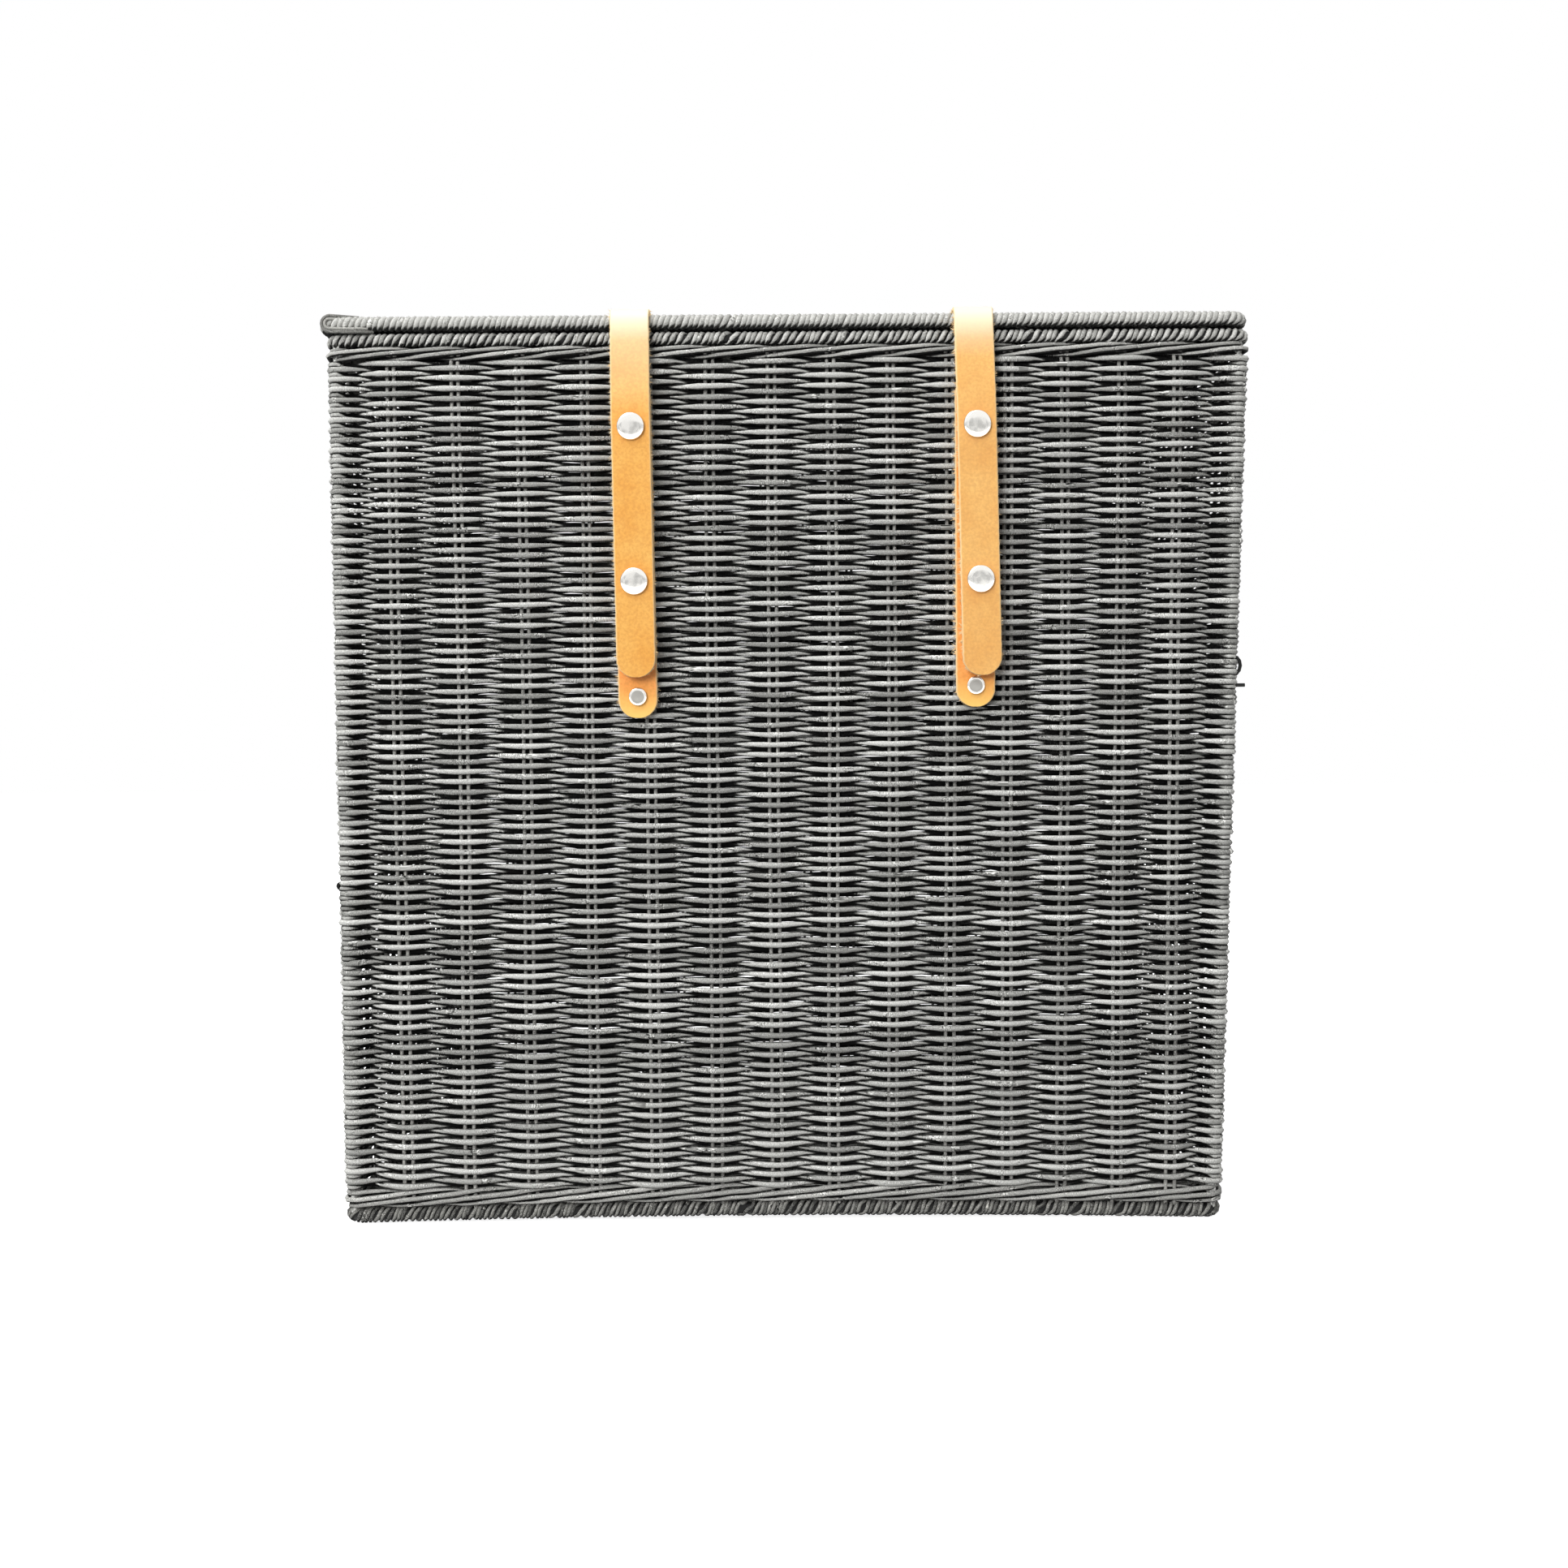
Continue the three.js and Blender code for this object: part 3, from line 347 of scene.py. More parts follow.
chance = random.Random(7)
for name, turn, sides, places, lead in WALLS:
    runs = []
    for foot_at, rim_at in places:
        lean = chance.uniform(-BOW_MM, BOW_MM) * MM
        for hand in (-1, 1):
            gap = STAKE_PAIR / 2 * chance.uniform(*PAIR_SPREAD) * hand
            run = []
            for step in range(STAKE_STEPS + 1):
                z = STAKE_FROM + (TURNED_FROM - STAKE_FROM) * step / STAKE_STEPS
                apart = gap * (FOOT_PAIR + (1 - FOOT_PAIR) * z / rim_top)
                bend = lean * math.sin(z * BOW_RATE + lean * BOW_PHASE)
                along = foot_at + (rim_at - foot_at) * z / rim_top + apart + bend
                run.append(on_wall(turn, sides, along, z))
            run.append(on_wall(turn, sides, along, TURNED_FROM + TURNED_BY, TURN_IN))
            run.append(on_wall(turn, sides, along, rim_top - STAKE_BELOW_RIM, TURN_IN))
            runs.append(run)
    stakes = grown(
        f"{name}_stake_pairs", cane, lines(f"{name}_stake_lines", runs),
        Thickness=STAKE, Sides=7, Uneven=0.05, Seed=turn, Material=stained_cane,
    )
    fit(stakes, "basket", "rattan_cane", f"{name}_stakes")

for deep, turn in (("front", 0), ("back", 2)):
    for wide, hand in (("left", -1), ("right", 1)):
        corner = hand if deep == "front" else -hand
        run = []
        for step in range(STAKE_STEPS + 1):
            z = POST_FROM + (rim_top - POST_SHORT) * step / STAKE_STEPS
            along = corner * (weave_plane(z).x - POST_INSET) + (1 - turn) * settled(z)
            run.append(on_wall(turn, 0, along, z, POST_INSET))
        post = grown(
            f"corner_cane_{deep}_{wide}", cane, lines(f"corner_line_{deep}_{wide}", [run]),
            Thickness=POST, Sides=12, Uneven=0.03, Seed=turn, Material=stained_core,
        )
        fit(post, "basket", "rattan_cane", f"post_{deep}_{wide}")

# Woven walls. Single strands of 3 mm rattan core pass in front of one pair of stakes and behind the next,
# and the row above does the opposite. A row sags a little at each pair and is squeezed between two pairs,
# where its neighbours crowd it. All rows wrap the corner cane.
WEAVER, WEAVER_SIDES, WEAVER_UNEVEN = 3.2 * MM, 6, 0.12
ROW, ROW_SLACK = 2.6 * MM, 0.07
FIRST_ROW, LAST_ROW = 20 * MM, 447.5 * MM
STEPS = 6
PULL = (0.9, 1.06)
WANDER, STRAYS_PER_METRE, NEXT_STRAY = 1.4 * MM, 22.0, 3.7
SAG = 0.5 * MM
SQUEEZED = (0.0, 0.7, 0.28, 0.0)
# How far a row's flanks are marked for painted shade as it nears a crossing, where its neighbours crowd it.
CROWDED = (0.7, -0.5, 0.0, 2.2)

weave, given = tree_with(
    "plain_weave", Track="Geometry", Rows="Int", Lead="Int", Strand="Float", Wander="Float", Sag="Float",
    Seed="Int", Material="Material",
)
path = add(weave, "GeometryNodeMeshToCurve", given["Track"])
rows = add(
    weave, "GeometryNodeDuplicateElements", named={"Geometry": path, "Amount": given["Rows"]},
    domain="SPLINE",
)
row = rows.node.outputs["Duplicate Index"]
slack = add(
    weave, "FunctionNodeRandomValue", -ROW_SLACK, ROW_SLACK, row, given["Seed"], data_type="FLOAT"
)
level = add(weave, "ShaderNodeMath", row, slack, operation="ADD")
gaps = add(weave, "ShaderNodeMath", given["Rows"], 1.0, operation="SUBTRACT")
share = add(weave, "ShaderNodeMath", level, gaps, operation="DIVIDE")
field = {
    key: add(weave, "GeometryNodeInputNamedAttribute", key, data_type="FLOAT_VECTOR")
    for key in ("low", "high", "out", "tuck")
}
line = add(
    weave, "ShaderNodeMix", share, field["low"], field["high"], data_type="VECTOR", clamp_factor=False
)
column = add(weave, "GeometryNodeInputNamedAttribute", "column", data_type="FLOAT")
count = add(weave, "ShaderNodeMath", column, row, operation="ADD")
turned = add(weave, "ShaderNodeMath", count, given["Lead"], operation="ADD")
angle = add(weave, "ShaderNodeMath", turned, math.pi, operation="MULTIPLY")
wave = add(weave, "ShaderNodeMath", angle, operation="COSINE")
pull = add(weave, "FunctionNodeRandomValue", *PULL, row, given["Seed"], data_type="FLOAT")
swing = add(weave, "ShaderNodeMath", wave, pull, operation="MULTIPLY")
bulge = add(weave, "ShaderNodeVectorMath", field["out"], swing, operation="SCALE")
behind = add(weave, "ShaderNodeMapRange", wave, -1.0, 1.0, 1.0, 0.0)
inside = add(weave, "ShaderNodeVectorMath", field["tuck"], behind, operation="SCALE")
strand_seed = add(weave, "ShaderNodeMath", row, NEXT_STRAY, operation="MULTIPLY")
stray = add(
    weave, "ShaderNodeTexNoise", line, strand_seed, STRAYS_PER_METRE, 1.0, noise_dimensions="4D"
).node.outputs["Color"]
centred = add(weave, "ShaderNodeVectorMath", stray, (0.5, 0.5, 0.5), operation="SUBTRACT")
drift = add(weave, "ShaderNodeVectorMath", centred, given["Wander"], operation="SCALE")
offset = add(weave, "ShaderNodeVectorMath", bulge, inside, operation="ADD")
laid = add(weave, "ShaderNodeVectorMath", line, offset, operation="ADD")
strayed = add(weave, "ShaderNodeVectorMath", laid, drift, operation="ADD")
rising = add(weave, "ShaderNodeVectorMath", field["high"], field["low"], operation="SUBTRACT")
beside = add(weave, "ShaderNodeVectorMath", rising, operation="NORMALIZE")
bowed = add(weave, "ShaderNodeMath", wave, wave, operation="MULTIPLY")
sunk = add(weave, "ShaderNodeMath", bowed, given["Sag"], operation="MULTIPLY")
below = add(weave, "ShaderNodeVectorMath", beside, sunk, operation="SCALE")
set_at = add(weave, "ShaderNodeVectorMath", strayed, below, operation="SUBTRACT")
# How far each part of a row stands out from the wall's middle, and its crowded flanks, are kept so that the
# parts behind the next row and the creases between rows are painted as shade.
outer = add(weave, "ShaderNodeVectorMath", field["out"], operation="NORMALIZE")
depth = add(weave, "ShaderNodeVectorMath", offset, outer, operation="DOT_PRODUCT")
farthest = add(weave, "ShaderNodeVectorMath", field["out"], operation="LENGTH")
forward = add(weave, "ShaderNodeMath", depth, farthest, operation="DIVIDE")
lifted = add(weave, "ShaderNodeVectorMath", outer, forward, operation="SCALE")
slim = add(weave, "ShaderNodeMapRange", bowed, *SQUEEZED)
closing = add(weave, "ShaderNodeMapRange", wave, *CROWDED)
flank = add(weave, "ShaderNodeVectorMath", beside, closing, operation="SCALE")
marked = rows
for mark, value in (("beside", beside), ("lifted", lifted), ("slim", slim), ("flank", flank)):
    kind = "FLOAT" if mark == "slim" else "FLOAT_VECTOR"
    marked = add(weave, "GeometryNodeStoreNamedAttribute", marked, True, mark, value, data_type=kind)
woven = add(weave, "GeometryNodeSetPosition", named={"Geometry": marked, "Position": set_at})
strands = add(
    weave, "GeometryNodeGroup", woven, given["Strand"], WEAVER_SIDES, WEAVER_UNEVEN, given["Seed"],
    node_tree=strand_skin,
)
close_tree(weave, strands, given["Material"])


def spread(places, steps):
    """Places between given ones, a number of steps to each gap, with the count of gaps passed."""
    found = []
    for i in range((len(places) - 1) * steps + 1):
        gap, part = divmod(i, steps)
        after = places[min(gap + 1, len(places) - 1)]
        found.append((gap + part / steps, places[gap] + (after - places[gap]) * part / steps))
    return found


# Past a corner's middle the strands of two walls run a little way into each other, so that no seam shows.
# A row that would pass behind the post is brought out round it by the shares in WRAPPED, step by step
# from the post to the first stake.
PAST_CORNER = 0.12
TURN_STEPS = (math.pi / 8, math.pi / 4 + PAST_CORNER)
WRAPPED = (1.85, 0.1, -0.35, 0.0, 0.0, 0.0, 0.0)
stake_swing, post_swing = (STAKE + WEAVER) / 2, (POST + WEAVER) / 2
for name, turn, sides, places, lead in WALLS:
    track = {key: [] for key in ("low", "high", "out", "tuck", "column")}
    low_places, high_places = [], []
    for z, row_places in ((FIRST_ROW, low_places), (LAST_ROW, high_places)):
        end = weave_plane(z)[sides] - POST_INSET
        aside = 0.0 if sides else (1 - turn) * settled(z)
        row_places += [aside - end, *(f + (r - f) * z / rim_top for f, r in places), aside + end]
    pairs = zip(spread(low_places, STEPS), spread(high_places, STEPS))
    stations = [(c, a, b, 0.0) for (c, a), (_, b) in pairs]
    left, right = stations[0], stations[-1]
    stations = [(*left[:3], -a) for a in reversed(TURN_STEPS)] + stations
    stations += [(*right[:3], a) for a in TURN_STEPS]
    for count, low_at, high_at, bent in stations:
        near_post = max(0.0, 1 - count, count - len(places))
        reach = stake_swing + (post_swing - stake_swing) * near_post
        brought_out = WRAPPED[round((1 - near_post) * STEPS)]
        track["low"].append(on_wall(turn, sides, low_at, FIRST_ROW, POST_INSET * near_post))
        track["high"].append(on_wall(turn, sides, high_at, LAST_ROW, POST_INSET * near_post))
        track["out"].append(faced(turn, math.sin(bent), math.cos(bent)) * reach)
        track["tuck"].append(track["out"][-1] * brought_out)
        track["column"].append(count - 1)
    wall = grown(
        f"{name}_woven_wall", weave, lines(f"{name}_track", [track["low"]], **track),
        Rows=1 + round((LAST_ROW - FIRST_ROW) / ROW), Lead=lead, Strand=WEAVER, Wander=WANDER, Sag=SAG,
        Seed=11 + turn, Material=stained_core,
    )
    fit(wall, "basket", "woven_rattan", f"{name}_weave")

# Waling under the rim and above the foot. Three or four strands are twisted round the stakes together, each
# over all pairs but one, which locks the weave and shows as a flat rope.
LOOSE_PER_METRE, WOUND_UNEVEN = 70.0, 0.08
# Straight up and a little stretched, so that each turn's underside is painted as shade. The way along the
# strand marks the creases between turns, and the way out from the core marks the faces against it, for
# painted shade too.
UNDERSIDE_SHADE_UP = (0.0, 0.0, 1.4)
winding, given = tree_with(
    "winding", Path="Geometry", Turn="Float", Steps="Float", Strands="Int", ReachOut="Float",
    ReachUp="Float", Bunching="Float", Linger="Float", Strand="Float", Sides="Int", Seed="Int",
    Material="Material",
)
path = add(winding, "GeometryNodeMeshToCurve", given["Path"])
step = add(winding, "ShaderNodeMath", given["Turn"], given["Steps"], operation="DIVIDE")
points = add(winding, "GeometryNodeResampleCurve", named={"Curve": path, "Length": step}, mode="LENGTH")
turns = add(
    winding, "GeometryNodeDuplicateElements", named={"Geometry": points, "Amount": given["Strands"]},
    domain="SPLINE",
)
strand = add(
    winding, "ShaderNodeMath", turns.node.outputs["Duplicate Index"], given["Strands"], operation="DIVIDE"
)
length = add(winding, "GeometryNodeSplineParameter").node.outputs["Length"]
wound = add(winding, "ShaderNodeMath", length, given["Turn"], operation="DIVIDE")
loose = add(winding, "ShaderNodeTexNoise", length, LOOSE_PER_METRE, 2.0, noise_dimensions="1D")
bunched = add(winding, "ShaderNodeMath", loose, given["Bunching"], strand, operation="MULTIPLY_ADD")
total = add(winding, "ShaderNodeMath", wound, bunched, operation="ADD")
even = add(winding, "ShaderNodeMath", total, 2 * math.pi, operation="MULTIPLY")
sway = add(winding, "ShaderNodeMath", even, operation="SINE")
slowed = add(winding, "ShaderNodeMath", sway, given["Linger"], operation="MULTIPLY")
angle = add(winding, "ShaderNodeMath", even, slowed, operation="SUBTRACT")
across = add(winding, "ShaderNodeMath", angle, operation="COSINE")
upward = add(winding, "ShaderNodeMath", angle, operation="SINE")
way = add(winding, "GeometryNodeInputTangent")
outward = add(winding, "ShaderNodeVectorMath", way, (0.0, 0.0, 1.0), operation="CROSS_PRODUCT")
out_by = add(winding, "ShaderNodeMath", across, given["ReachOut"], operation="MULTIPLY")
up_by = add(winding, "ShaderNodeMath", upward, given["ReachUp"], operation="MULTIPLY")
sideways = add(winding, "ShaderNodeVectorMath", outward, out_by, operation="SCALE")
raised = add(winding, "ShaderNodeCombineXYZ", 0.0, 0.0, up_by)
offset = add(winding, "ShaderNodeVectorMath", sideways, raised, operation="ADD")
lifted = add(winding, "ShaderNodeVectorMath", offset, operation="NORMALIZE")
marked = turns
for mark, value in (("beside", UNDERSIDE_SHADE_UP), ("flank", way), ("lifted", lifted)):
    marked = add(
        winding, "GeometryNodeStoreNamedAttribute", marked, True, mark, value, data_type="FLOAT_VECTOR"
    )
coil = add(winding, "GeometryNodeSetPosition", named={"Geometry": marked, "Offset": offset})
strands = add(
    winding, "GeometryNodeGroup", coil, given["Strand"], given["Sides"], WOUND_UNEVEN, given["Seed"],
    node_tree=strand_skin,
)
close_tree(winding, strands, given["Material"])

RING_STEP, CORNER_STEPS = 4 * MM, 6


def ring(half_x, half_y, z, corner, aside=0.0, bow=0.0):
    """Points round the basket at a height, counter-clockwise from above, with rounded corners. The sides may
    bow up between the corners."""
    points = []
    for turn in range(4):
        a, b = (half_x, half_y) if turn % 2 == 0 else (half_y, half_x)
        cells = max(2, round(2 * (a - corner) / RING_STEP))
        for i in range(cells):
            share = 2 * i / cells - 1
            raised = z + bow * (1 - share * share)
            points.append(faced(turn, (a - corner) * share, b) + Vector((aside, middle_y, raised)))
        for i in range(CORNER_STEPS):
            bent = math.pi / 2 * i / CORNER_STEPS
            points.append(
                faced(turn, a - corner + corner * math.sin(bent), b - corner + corner * math.cos(bent))
                + Vector((aside, middle_y, z))
            )
    return points


def whole_turns(points, turn):
    """The length of one turn nearest to the wanted one that closes round a ring."""
    around = sum((points[i] - points[i - 1]).length for i in range(len(points)))
    return around / round(around / turn)


FOOT_BOW = 2.4 * MM
WALE_STEP, WALE_STRAND = 31.3 * MM, 2.7 * MM
WALE_CORNER, WALE_OUT = 5 * MM, 2.9 * MM
# Name, height, number of strands, reach up and down, and how far the foot's sides bow up
WALES = [
    ("top_waling", 452.4 * MM, 3, 2.6 * MM, 0.0), ("foot_waling", 12.6 * MM, 4, 3.6 * MM, FOOT_BOW),
]
for name, z, strands, up, bow in WALES:
    half = weave_plane(z)
    points = ring(half.x, half.y, z, WALE_CORNER, settled(z), bow)
    waling = grown(
        name, winding, lines(f"{name}_line", [points], closed=True),
        Turn=whole_turns(points, WALE_STEP * strands), Steps=30.0, Strands=strands, ReachOut=WALE_OUT,
        ReachUp=up, Bunching=0.05, Linger=0.5, Strand=WALE_STRAND, Sides=7, Seed=31, Material=waling_core_lit_copy,
    )
    fit(waling, "basket", "woven_rattan")

# Base. The same plain weave laid flat on stakes that run from front to back between the foot rails.
# Its strands end inside the binding of the side rails.
PANEL_EDGE, EDGE_SWING = 1.6 * MM, 0.35
PANEL_STAKE_STEPS, STAKE_BITE = 8, 0.6 * MM


def flat_weave(name, frame_box, rails, thickness, columns, seed):
    """A woven panel and its stakes, between rails, in the box of a CAD panel."""
    low, high = frame_box
    z = (low.z + high.z) / 2
    swing = (thickness - WEAVER) / 2
    places = [rails[0], *columns, rails[1]]
    track = {key: [] for key in ("low", "high", "out", "tuck", "column")}
    for count, at in spread(places, STEPS):
        inner = min(1.0, EDGE_SWING + min(count, len(places) - 1 - count))
        track["low"].append(Vector((at, low.y + PANEL_EDGE, z)))
        track["high"].append(Vector((at, high.y - PANEL_EDGE, z)))
        track["out"].append(Vector((0, 0, swing * inner)))
        track["tuck"].append(Vector((0, 0, 0)))
        track["column"].append(count - 1)
    panel = grown(
        f"{name}_woven_panel", weave, lines(f"{name}_track", [track["low"]], **track),
        Rows=1 + round((high.y - low.y - 2 * PANEL_EDGE) / ROW), Lead=0, Strand=WEAVER, Wander=WANDER,
        Sag=SAG, Seed=seed, Material=stained_core,
    )
    runs = []
    for at in columns:
        for hand in (-1, 1):
            x = at + hand * STAKE_PAIR / 2
            shares = range(PANEL_STAKE_STEPS + 1)
            runs.append([Vector((x, low.y + (high.y - low.y) * i / PANEL_STAKE_STEPS, z)) for i in shares])
    pairs = grown(
        f"{name}_stake_pairs", cane, lines(f"{name}_stake_lines", runs),
        Thickness=thickness - 2 * WEAVER + STAKE_BITE, Sides=7, Uneven=0.05, Seed=seed,
        Material=stained_cane,
    )
    return panel, pairs


BASE, BASE_END = 6.5 * MM, 4.5 * MM
rail_x = foot_half.x + FOOT_SPREAD - BASE_END
base_panel, base_pairs = flat_weave(
    "base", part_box("base_weave"), (FOOT_ASIDE - rail_x, FOOT_ASIDE + rail_x), BASE,
    [f for f, _ in stake_places(0, LONG_STAKES)], 41,
)
fit(base_panel, "basket", "woven_rattan", "base_weave")
fit(base_pairs, "basket", "rattan_cane", "base_stakes")

# Foot rail and rim rail. A core of cane runs round the basket and is bound tightly with two or three strands
# of thin rattan core side by side, wound on over the ends of the stakes. The foot binding is finer, and is
# drawn in a dark copy of the core as painted shade where the foot sits back under the waling. The rim
# binding takes the paler copy, as painted light. The cores are painted near black, as shade in the gaps
# between the turns.
FOOT_BINDING = {"radius": 4.2 * MM, "strand": 2.1 * MM, "turn": 2.7 * MM, "starts": 3, "bunching": 1.2}
RIM_BINDING = {"radius": 3.75 * MM, "strand": 2.6 * MM, "turn": 3.4 * MM, "starts": 2, "bunching": 0.95}
RAIL_CORNER = 7 * MM
SIDES = ("front", "back", "left", "right")
foot_core = rattan("foot_binding_painted_shade", "#020202", "#353534", "#d5d4cd")
rail_core = rattan("shaded_rail_core", "#080808", "#121212", "#1e1e1d")


def bound_rail(name, points, material, seed, radius, strand, turn, starts, bunching):
    """A rail's core and the strands wound round it side by side, all closed rings."""
    reach = radius - strand / 2
    binding = grown(
        f"{name}_binding", winding, lines(f"{name}_line", [points], closed=True),
        Turn=whole_turns(points, turn * starts), Steps=10.0, Strands=starts, ReachOut=reach, ReachUp=reach,
        Bunching=bunching, Strand=strand, Sides=6, Seed=seed, Material=material,
    )
    core = grown(
        f"{name}_core", cane, lines(f"{name}_core_line", [points], closed=True),
        Thickness=2 * reach, Sides=8, Uneven=0.0, Seed=seed, Material=rail_core,
    )
    return binding, core


def rail_ring(rail):
    """Half width, half depth and height of the middle of a CAD rail ring."""
    ends = [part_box(f"{rail}_{side}") for side in SIDES]
    middle = [(low + high) / 2 for low, high in ends]
    return middle[3].x, (middle[1].y - middle[0].y) / 2, middle[0].z


foot_x, foot_y, foot_z = rail_ring("foot_rail")
foot_ring = ring(foot_x + FOOT_SPREAD, foot_y, foot_z, RAIL_CORNER, FOOT_ASIDE, FOOT_BOW)
binding, core = bound_rail("foot_rail", foot_ring, foot_core, 51, **FOOT_BINDING)
fit(binding, "basket", "rattan_cane", *(f"foot_rail_{side}" for side in SIDES))
fit(core, "basket", "rattan_cane")
rim_x, rim_y, rim_z = rail_ring("rim_rail")
rim_ring = ring(rim_x + RIM_SPREAD, rim_y, rim_z, RAIL_CORNER, RIM_ASIDE)
binding, core = bound_rail("rim_rail", rim_ring, binding_core_lit_copy, 55, **RIM_BINDING)
fit(binding, "basket", "rattan_cane", *(f"rim_rail_{side}" for side in SIDES))
fit(core, "basket", "rattan_cane")

# Slack in two rows of core: a loop stands off the right front corner and a small one off the left. Under the
# right one a cut end sticks out.
SLACK_STRAND, SLACK_STEPS = 2.0 * MM, 6
SLACK_ROOT, SLACK_WAY = 3 * MM, (0.87, 0.5)
LOOSE_END, LOOSE_OUT, LOOSE_STEPS = 278.4 * MM, 2.5 * MM, (0.0, 4.5 * MM, 8.6 * MM)
# Hand, height of the middle, length up the corner and reach
SLACK = [(1, 288.5 * MM, 9.6 * MM, 6.6 * MM), (-1, 177 * MM, 3.4 * MM, 5.9 * MM)]


def on_corner(hand, z):
    """The middle of a front corner's post at a height."""
    return on_wall(0, 0, hand * (weave_plane(z).x - POST_INSET) + settled(z), z, POST_INSET)


runs = []
for hand, z, tall, reach in SLACK:
    run = []
    for i in range(SLACK_STEPS + 1):
        turn = math.pi * i / SLACK_STEPS
        out = SLACK_ROOT + (reach - SLACK_ROOT) * math.sin(turn)
        spot = on_corner(hand, z - tall / 2 * math.cos(turn))
        run.append(spot + faced(0, hand * SLACK_WAY[0], SLACK_WAY[1]) * out)
    runs.append(run)
runs.append([on_corner(1, LOOSE_END) + faced(0, out, LOOSE_OUT) for out in LOOSE_STEPS])
slack_rows = grown(
    "slack_rows", cane, lines("slack_row_lines", runs),
    Thickness=SLACK_STRAND, Sides=7, Uneven=0.05, Seed=9, Material=rail_core,
)
fit(slack_rows, "basket", "woven_rattan")

# Hinge loops at the back. Five turns of thin core bind the lid's rear rail to the rim's rear rail, loose
# enough for the lid to turn in them.
LOOP_STRAND, LOOP_TURNS = 2.2 * MM, 5
for hand in ("left", "right"):
    low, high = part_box(f"hinge_loop_{hand}")
    centre = (low + high) / 2
    ends = [Vector((x, centre.y, centre.z)) for x in (low.x + LOOP_STRAND / 2, high.x - LOOP_STRAND / 2)]
    loop = grown(
        f"hinge_winding_{hand}", winding, lines(f"hinge_line_{hand}", [ends]),
        Turn=(high.x - low.x - LOOP_STRAND) / LOOP_TURNS, Steps=20.0, Strands=1,
        ReachOut=(high.y - low.y - LOOP_STRAND) / 2, ReachUp=(high.z - low.z - LOOP_STRAND) / 2,
        Bunching=0.0, Strand=LOOP_STRAND, Sides=7, Seed=61, Material=stained_cane,
    )
    fit(loop, "basket", "rattan_cane", f"hinge_loop_{hand}")

# Lid. A flat woven panel in a cane frame that is bound like the rim and is a little larger than it. It
# lies on the rim and turns with its rear rail inside the hinge loops. Its binding is drawn in the paler
# copy of the core, as painted light.
LID = 7 * MM
LID_BINDING = {"radius": 4.1 * MM, "strand": 3.4 * MM, "turn": 3.0 * MM, "starts": 2, "bunching": 0.5}
LID_CORNER = 8 * MM
lid_x, lid_y, lid_z = rail_ring("lid_rail")
lid_panel, lid_pairs = flat_weave(
    "lid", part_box("lid_weave"), (-lid_x, lid_x), LID, [r for _, r in stake_places(0, LONG_STAKES)], 71
)
fit(lid_panel, "lid", "woven_rattan", "lid_weave")
fit(lid_pairs, "lid", "rattan_cane", "lid_stakes")
lid_ring = ring(lid_x, lid_y, lid_z, LID_CORNER)
binding, core = bound_rail("lid_rail", lid_ring, binding_core_lit_copy, 73, **LID_BINDING)
fit(binding, "lid", "rattan_cane", *(f"lid_rail_{side}" for side in SIDES))
fit(core, "lid", "rattan_cane")

# Two ends of the lid's binding, thin core like the rest. They turn back round its front left corner, one
# inside the other, and are tucked under the rail.
TUCK_STRAND, TUCK_STEPS = 1.7 * MM, 8
TUCK_REACHES = (4.1 * MM, 2.5 * MM)
CORNER_IN, CORNER_FRONT = 3.4 * MM, 2.4 * MM
TUCK_FROM, TUCK_END = (14 * MM, 5 * MM), (22 * MM, 2 * MM)
TUCK_UNDER, UNDER_FRONT, UNDER_DROP = (8 * MM, 15 * MM), -1.6 * MM, 0.7 * MM
runs = []
for reach in TUCK_REACHES:
    middle = Vector((-lid_x + CORNER_IN, middle_y - lid_y - CORNER_FRONT, lid_z))
    run = [middle + Vector((*TUCK_FROM, reach))]
    for i in range(TUCK_STEPS + 1):
        turn = math.pi * i / TUCK_STEPS
        run.append(middle + Vector((-math.sin(turn), 0, math.cos(turn))) * reach)
    run += [middle + Vector((at, UNDER_FRONT, -reach - UNDER_DROP)) for at in TUCK_UNDER]
    run.append(middle + Vector((*TUCK_END, -reach)))
    runs.append(run)
tuck = grown(
    "lid_corner_ends", cane, lines("lid_corner_lines", runs),
    Thickness=TUCK_STRAND, Sides=7, Uneven=0.05, Seed=5, Material=foot_core,
)
fit(tuck, "lid", "rattan_cane")

# Under straps. Two strips of vegetable-tanned cowhide, cut 20 mm wide with a strap cutter and rounded at the
# ends, lie on the front wall under the closing straps. A rivet through the wall holds each end.
STRAP, LEATHER = 20 * MM, 2.4 * MM
END_ROUND, END_STEPS, STRAP_STEP = 9.2 * MM, 8, 1.6 * MM
EDGE_BEVEL, EDGE_INSET = 0.35 * MM, 0.1 * MM
RAGGED, RAGGED_STEP, RAGGED_FROM, RAGS_APART = 0.28 * MM, 1.7 * MM, 0.9, 5
WAVE, WAVES_ALONG, WAVES_ACROSS, WAVES_APART = 0.16 * MM, 28, 0.7, 3.5
DENT, PRESS_REACH = 0.18 * MM, 8.5 * MM
RIM_CUT = 0.45
UNDER_OUT = 2.6 * MM
RIVET_INSET = 11 * MM
FADED_TIP, TIP_PALE = 16 * MM, 0.7
ACROSS = (-1, -0.94, -0.82, -0.6, -0.36, -0.12, 0.12, 0.36, 0.6, 0.82, 0.94, 1)
SIDE_LEVEL = 0.7

face_lean = math.atan2(foot_box[0].y - rim_box[0].y, rim_top)
face_out = Vector((0, -math.cos(face_lean), -math.sin(face_lean)))
face_down = Vector((0, math.sin(face_lean), -math.cos(face_lean)))
face_top = Vector((0, rim_box[0].y, rim_top))


def on_face(x, down, out):
    """A point of the front face, from its place across, its way down from the rim and its height off it."""
    return Vector((x, 0, 0)) + face_top + face_down * down + face_out * out


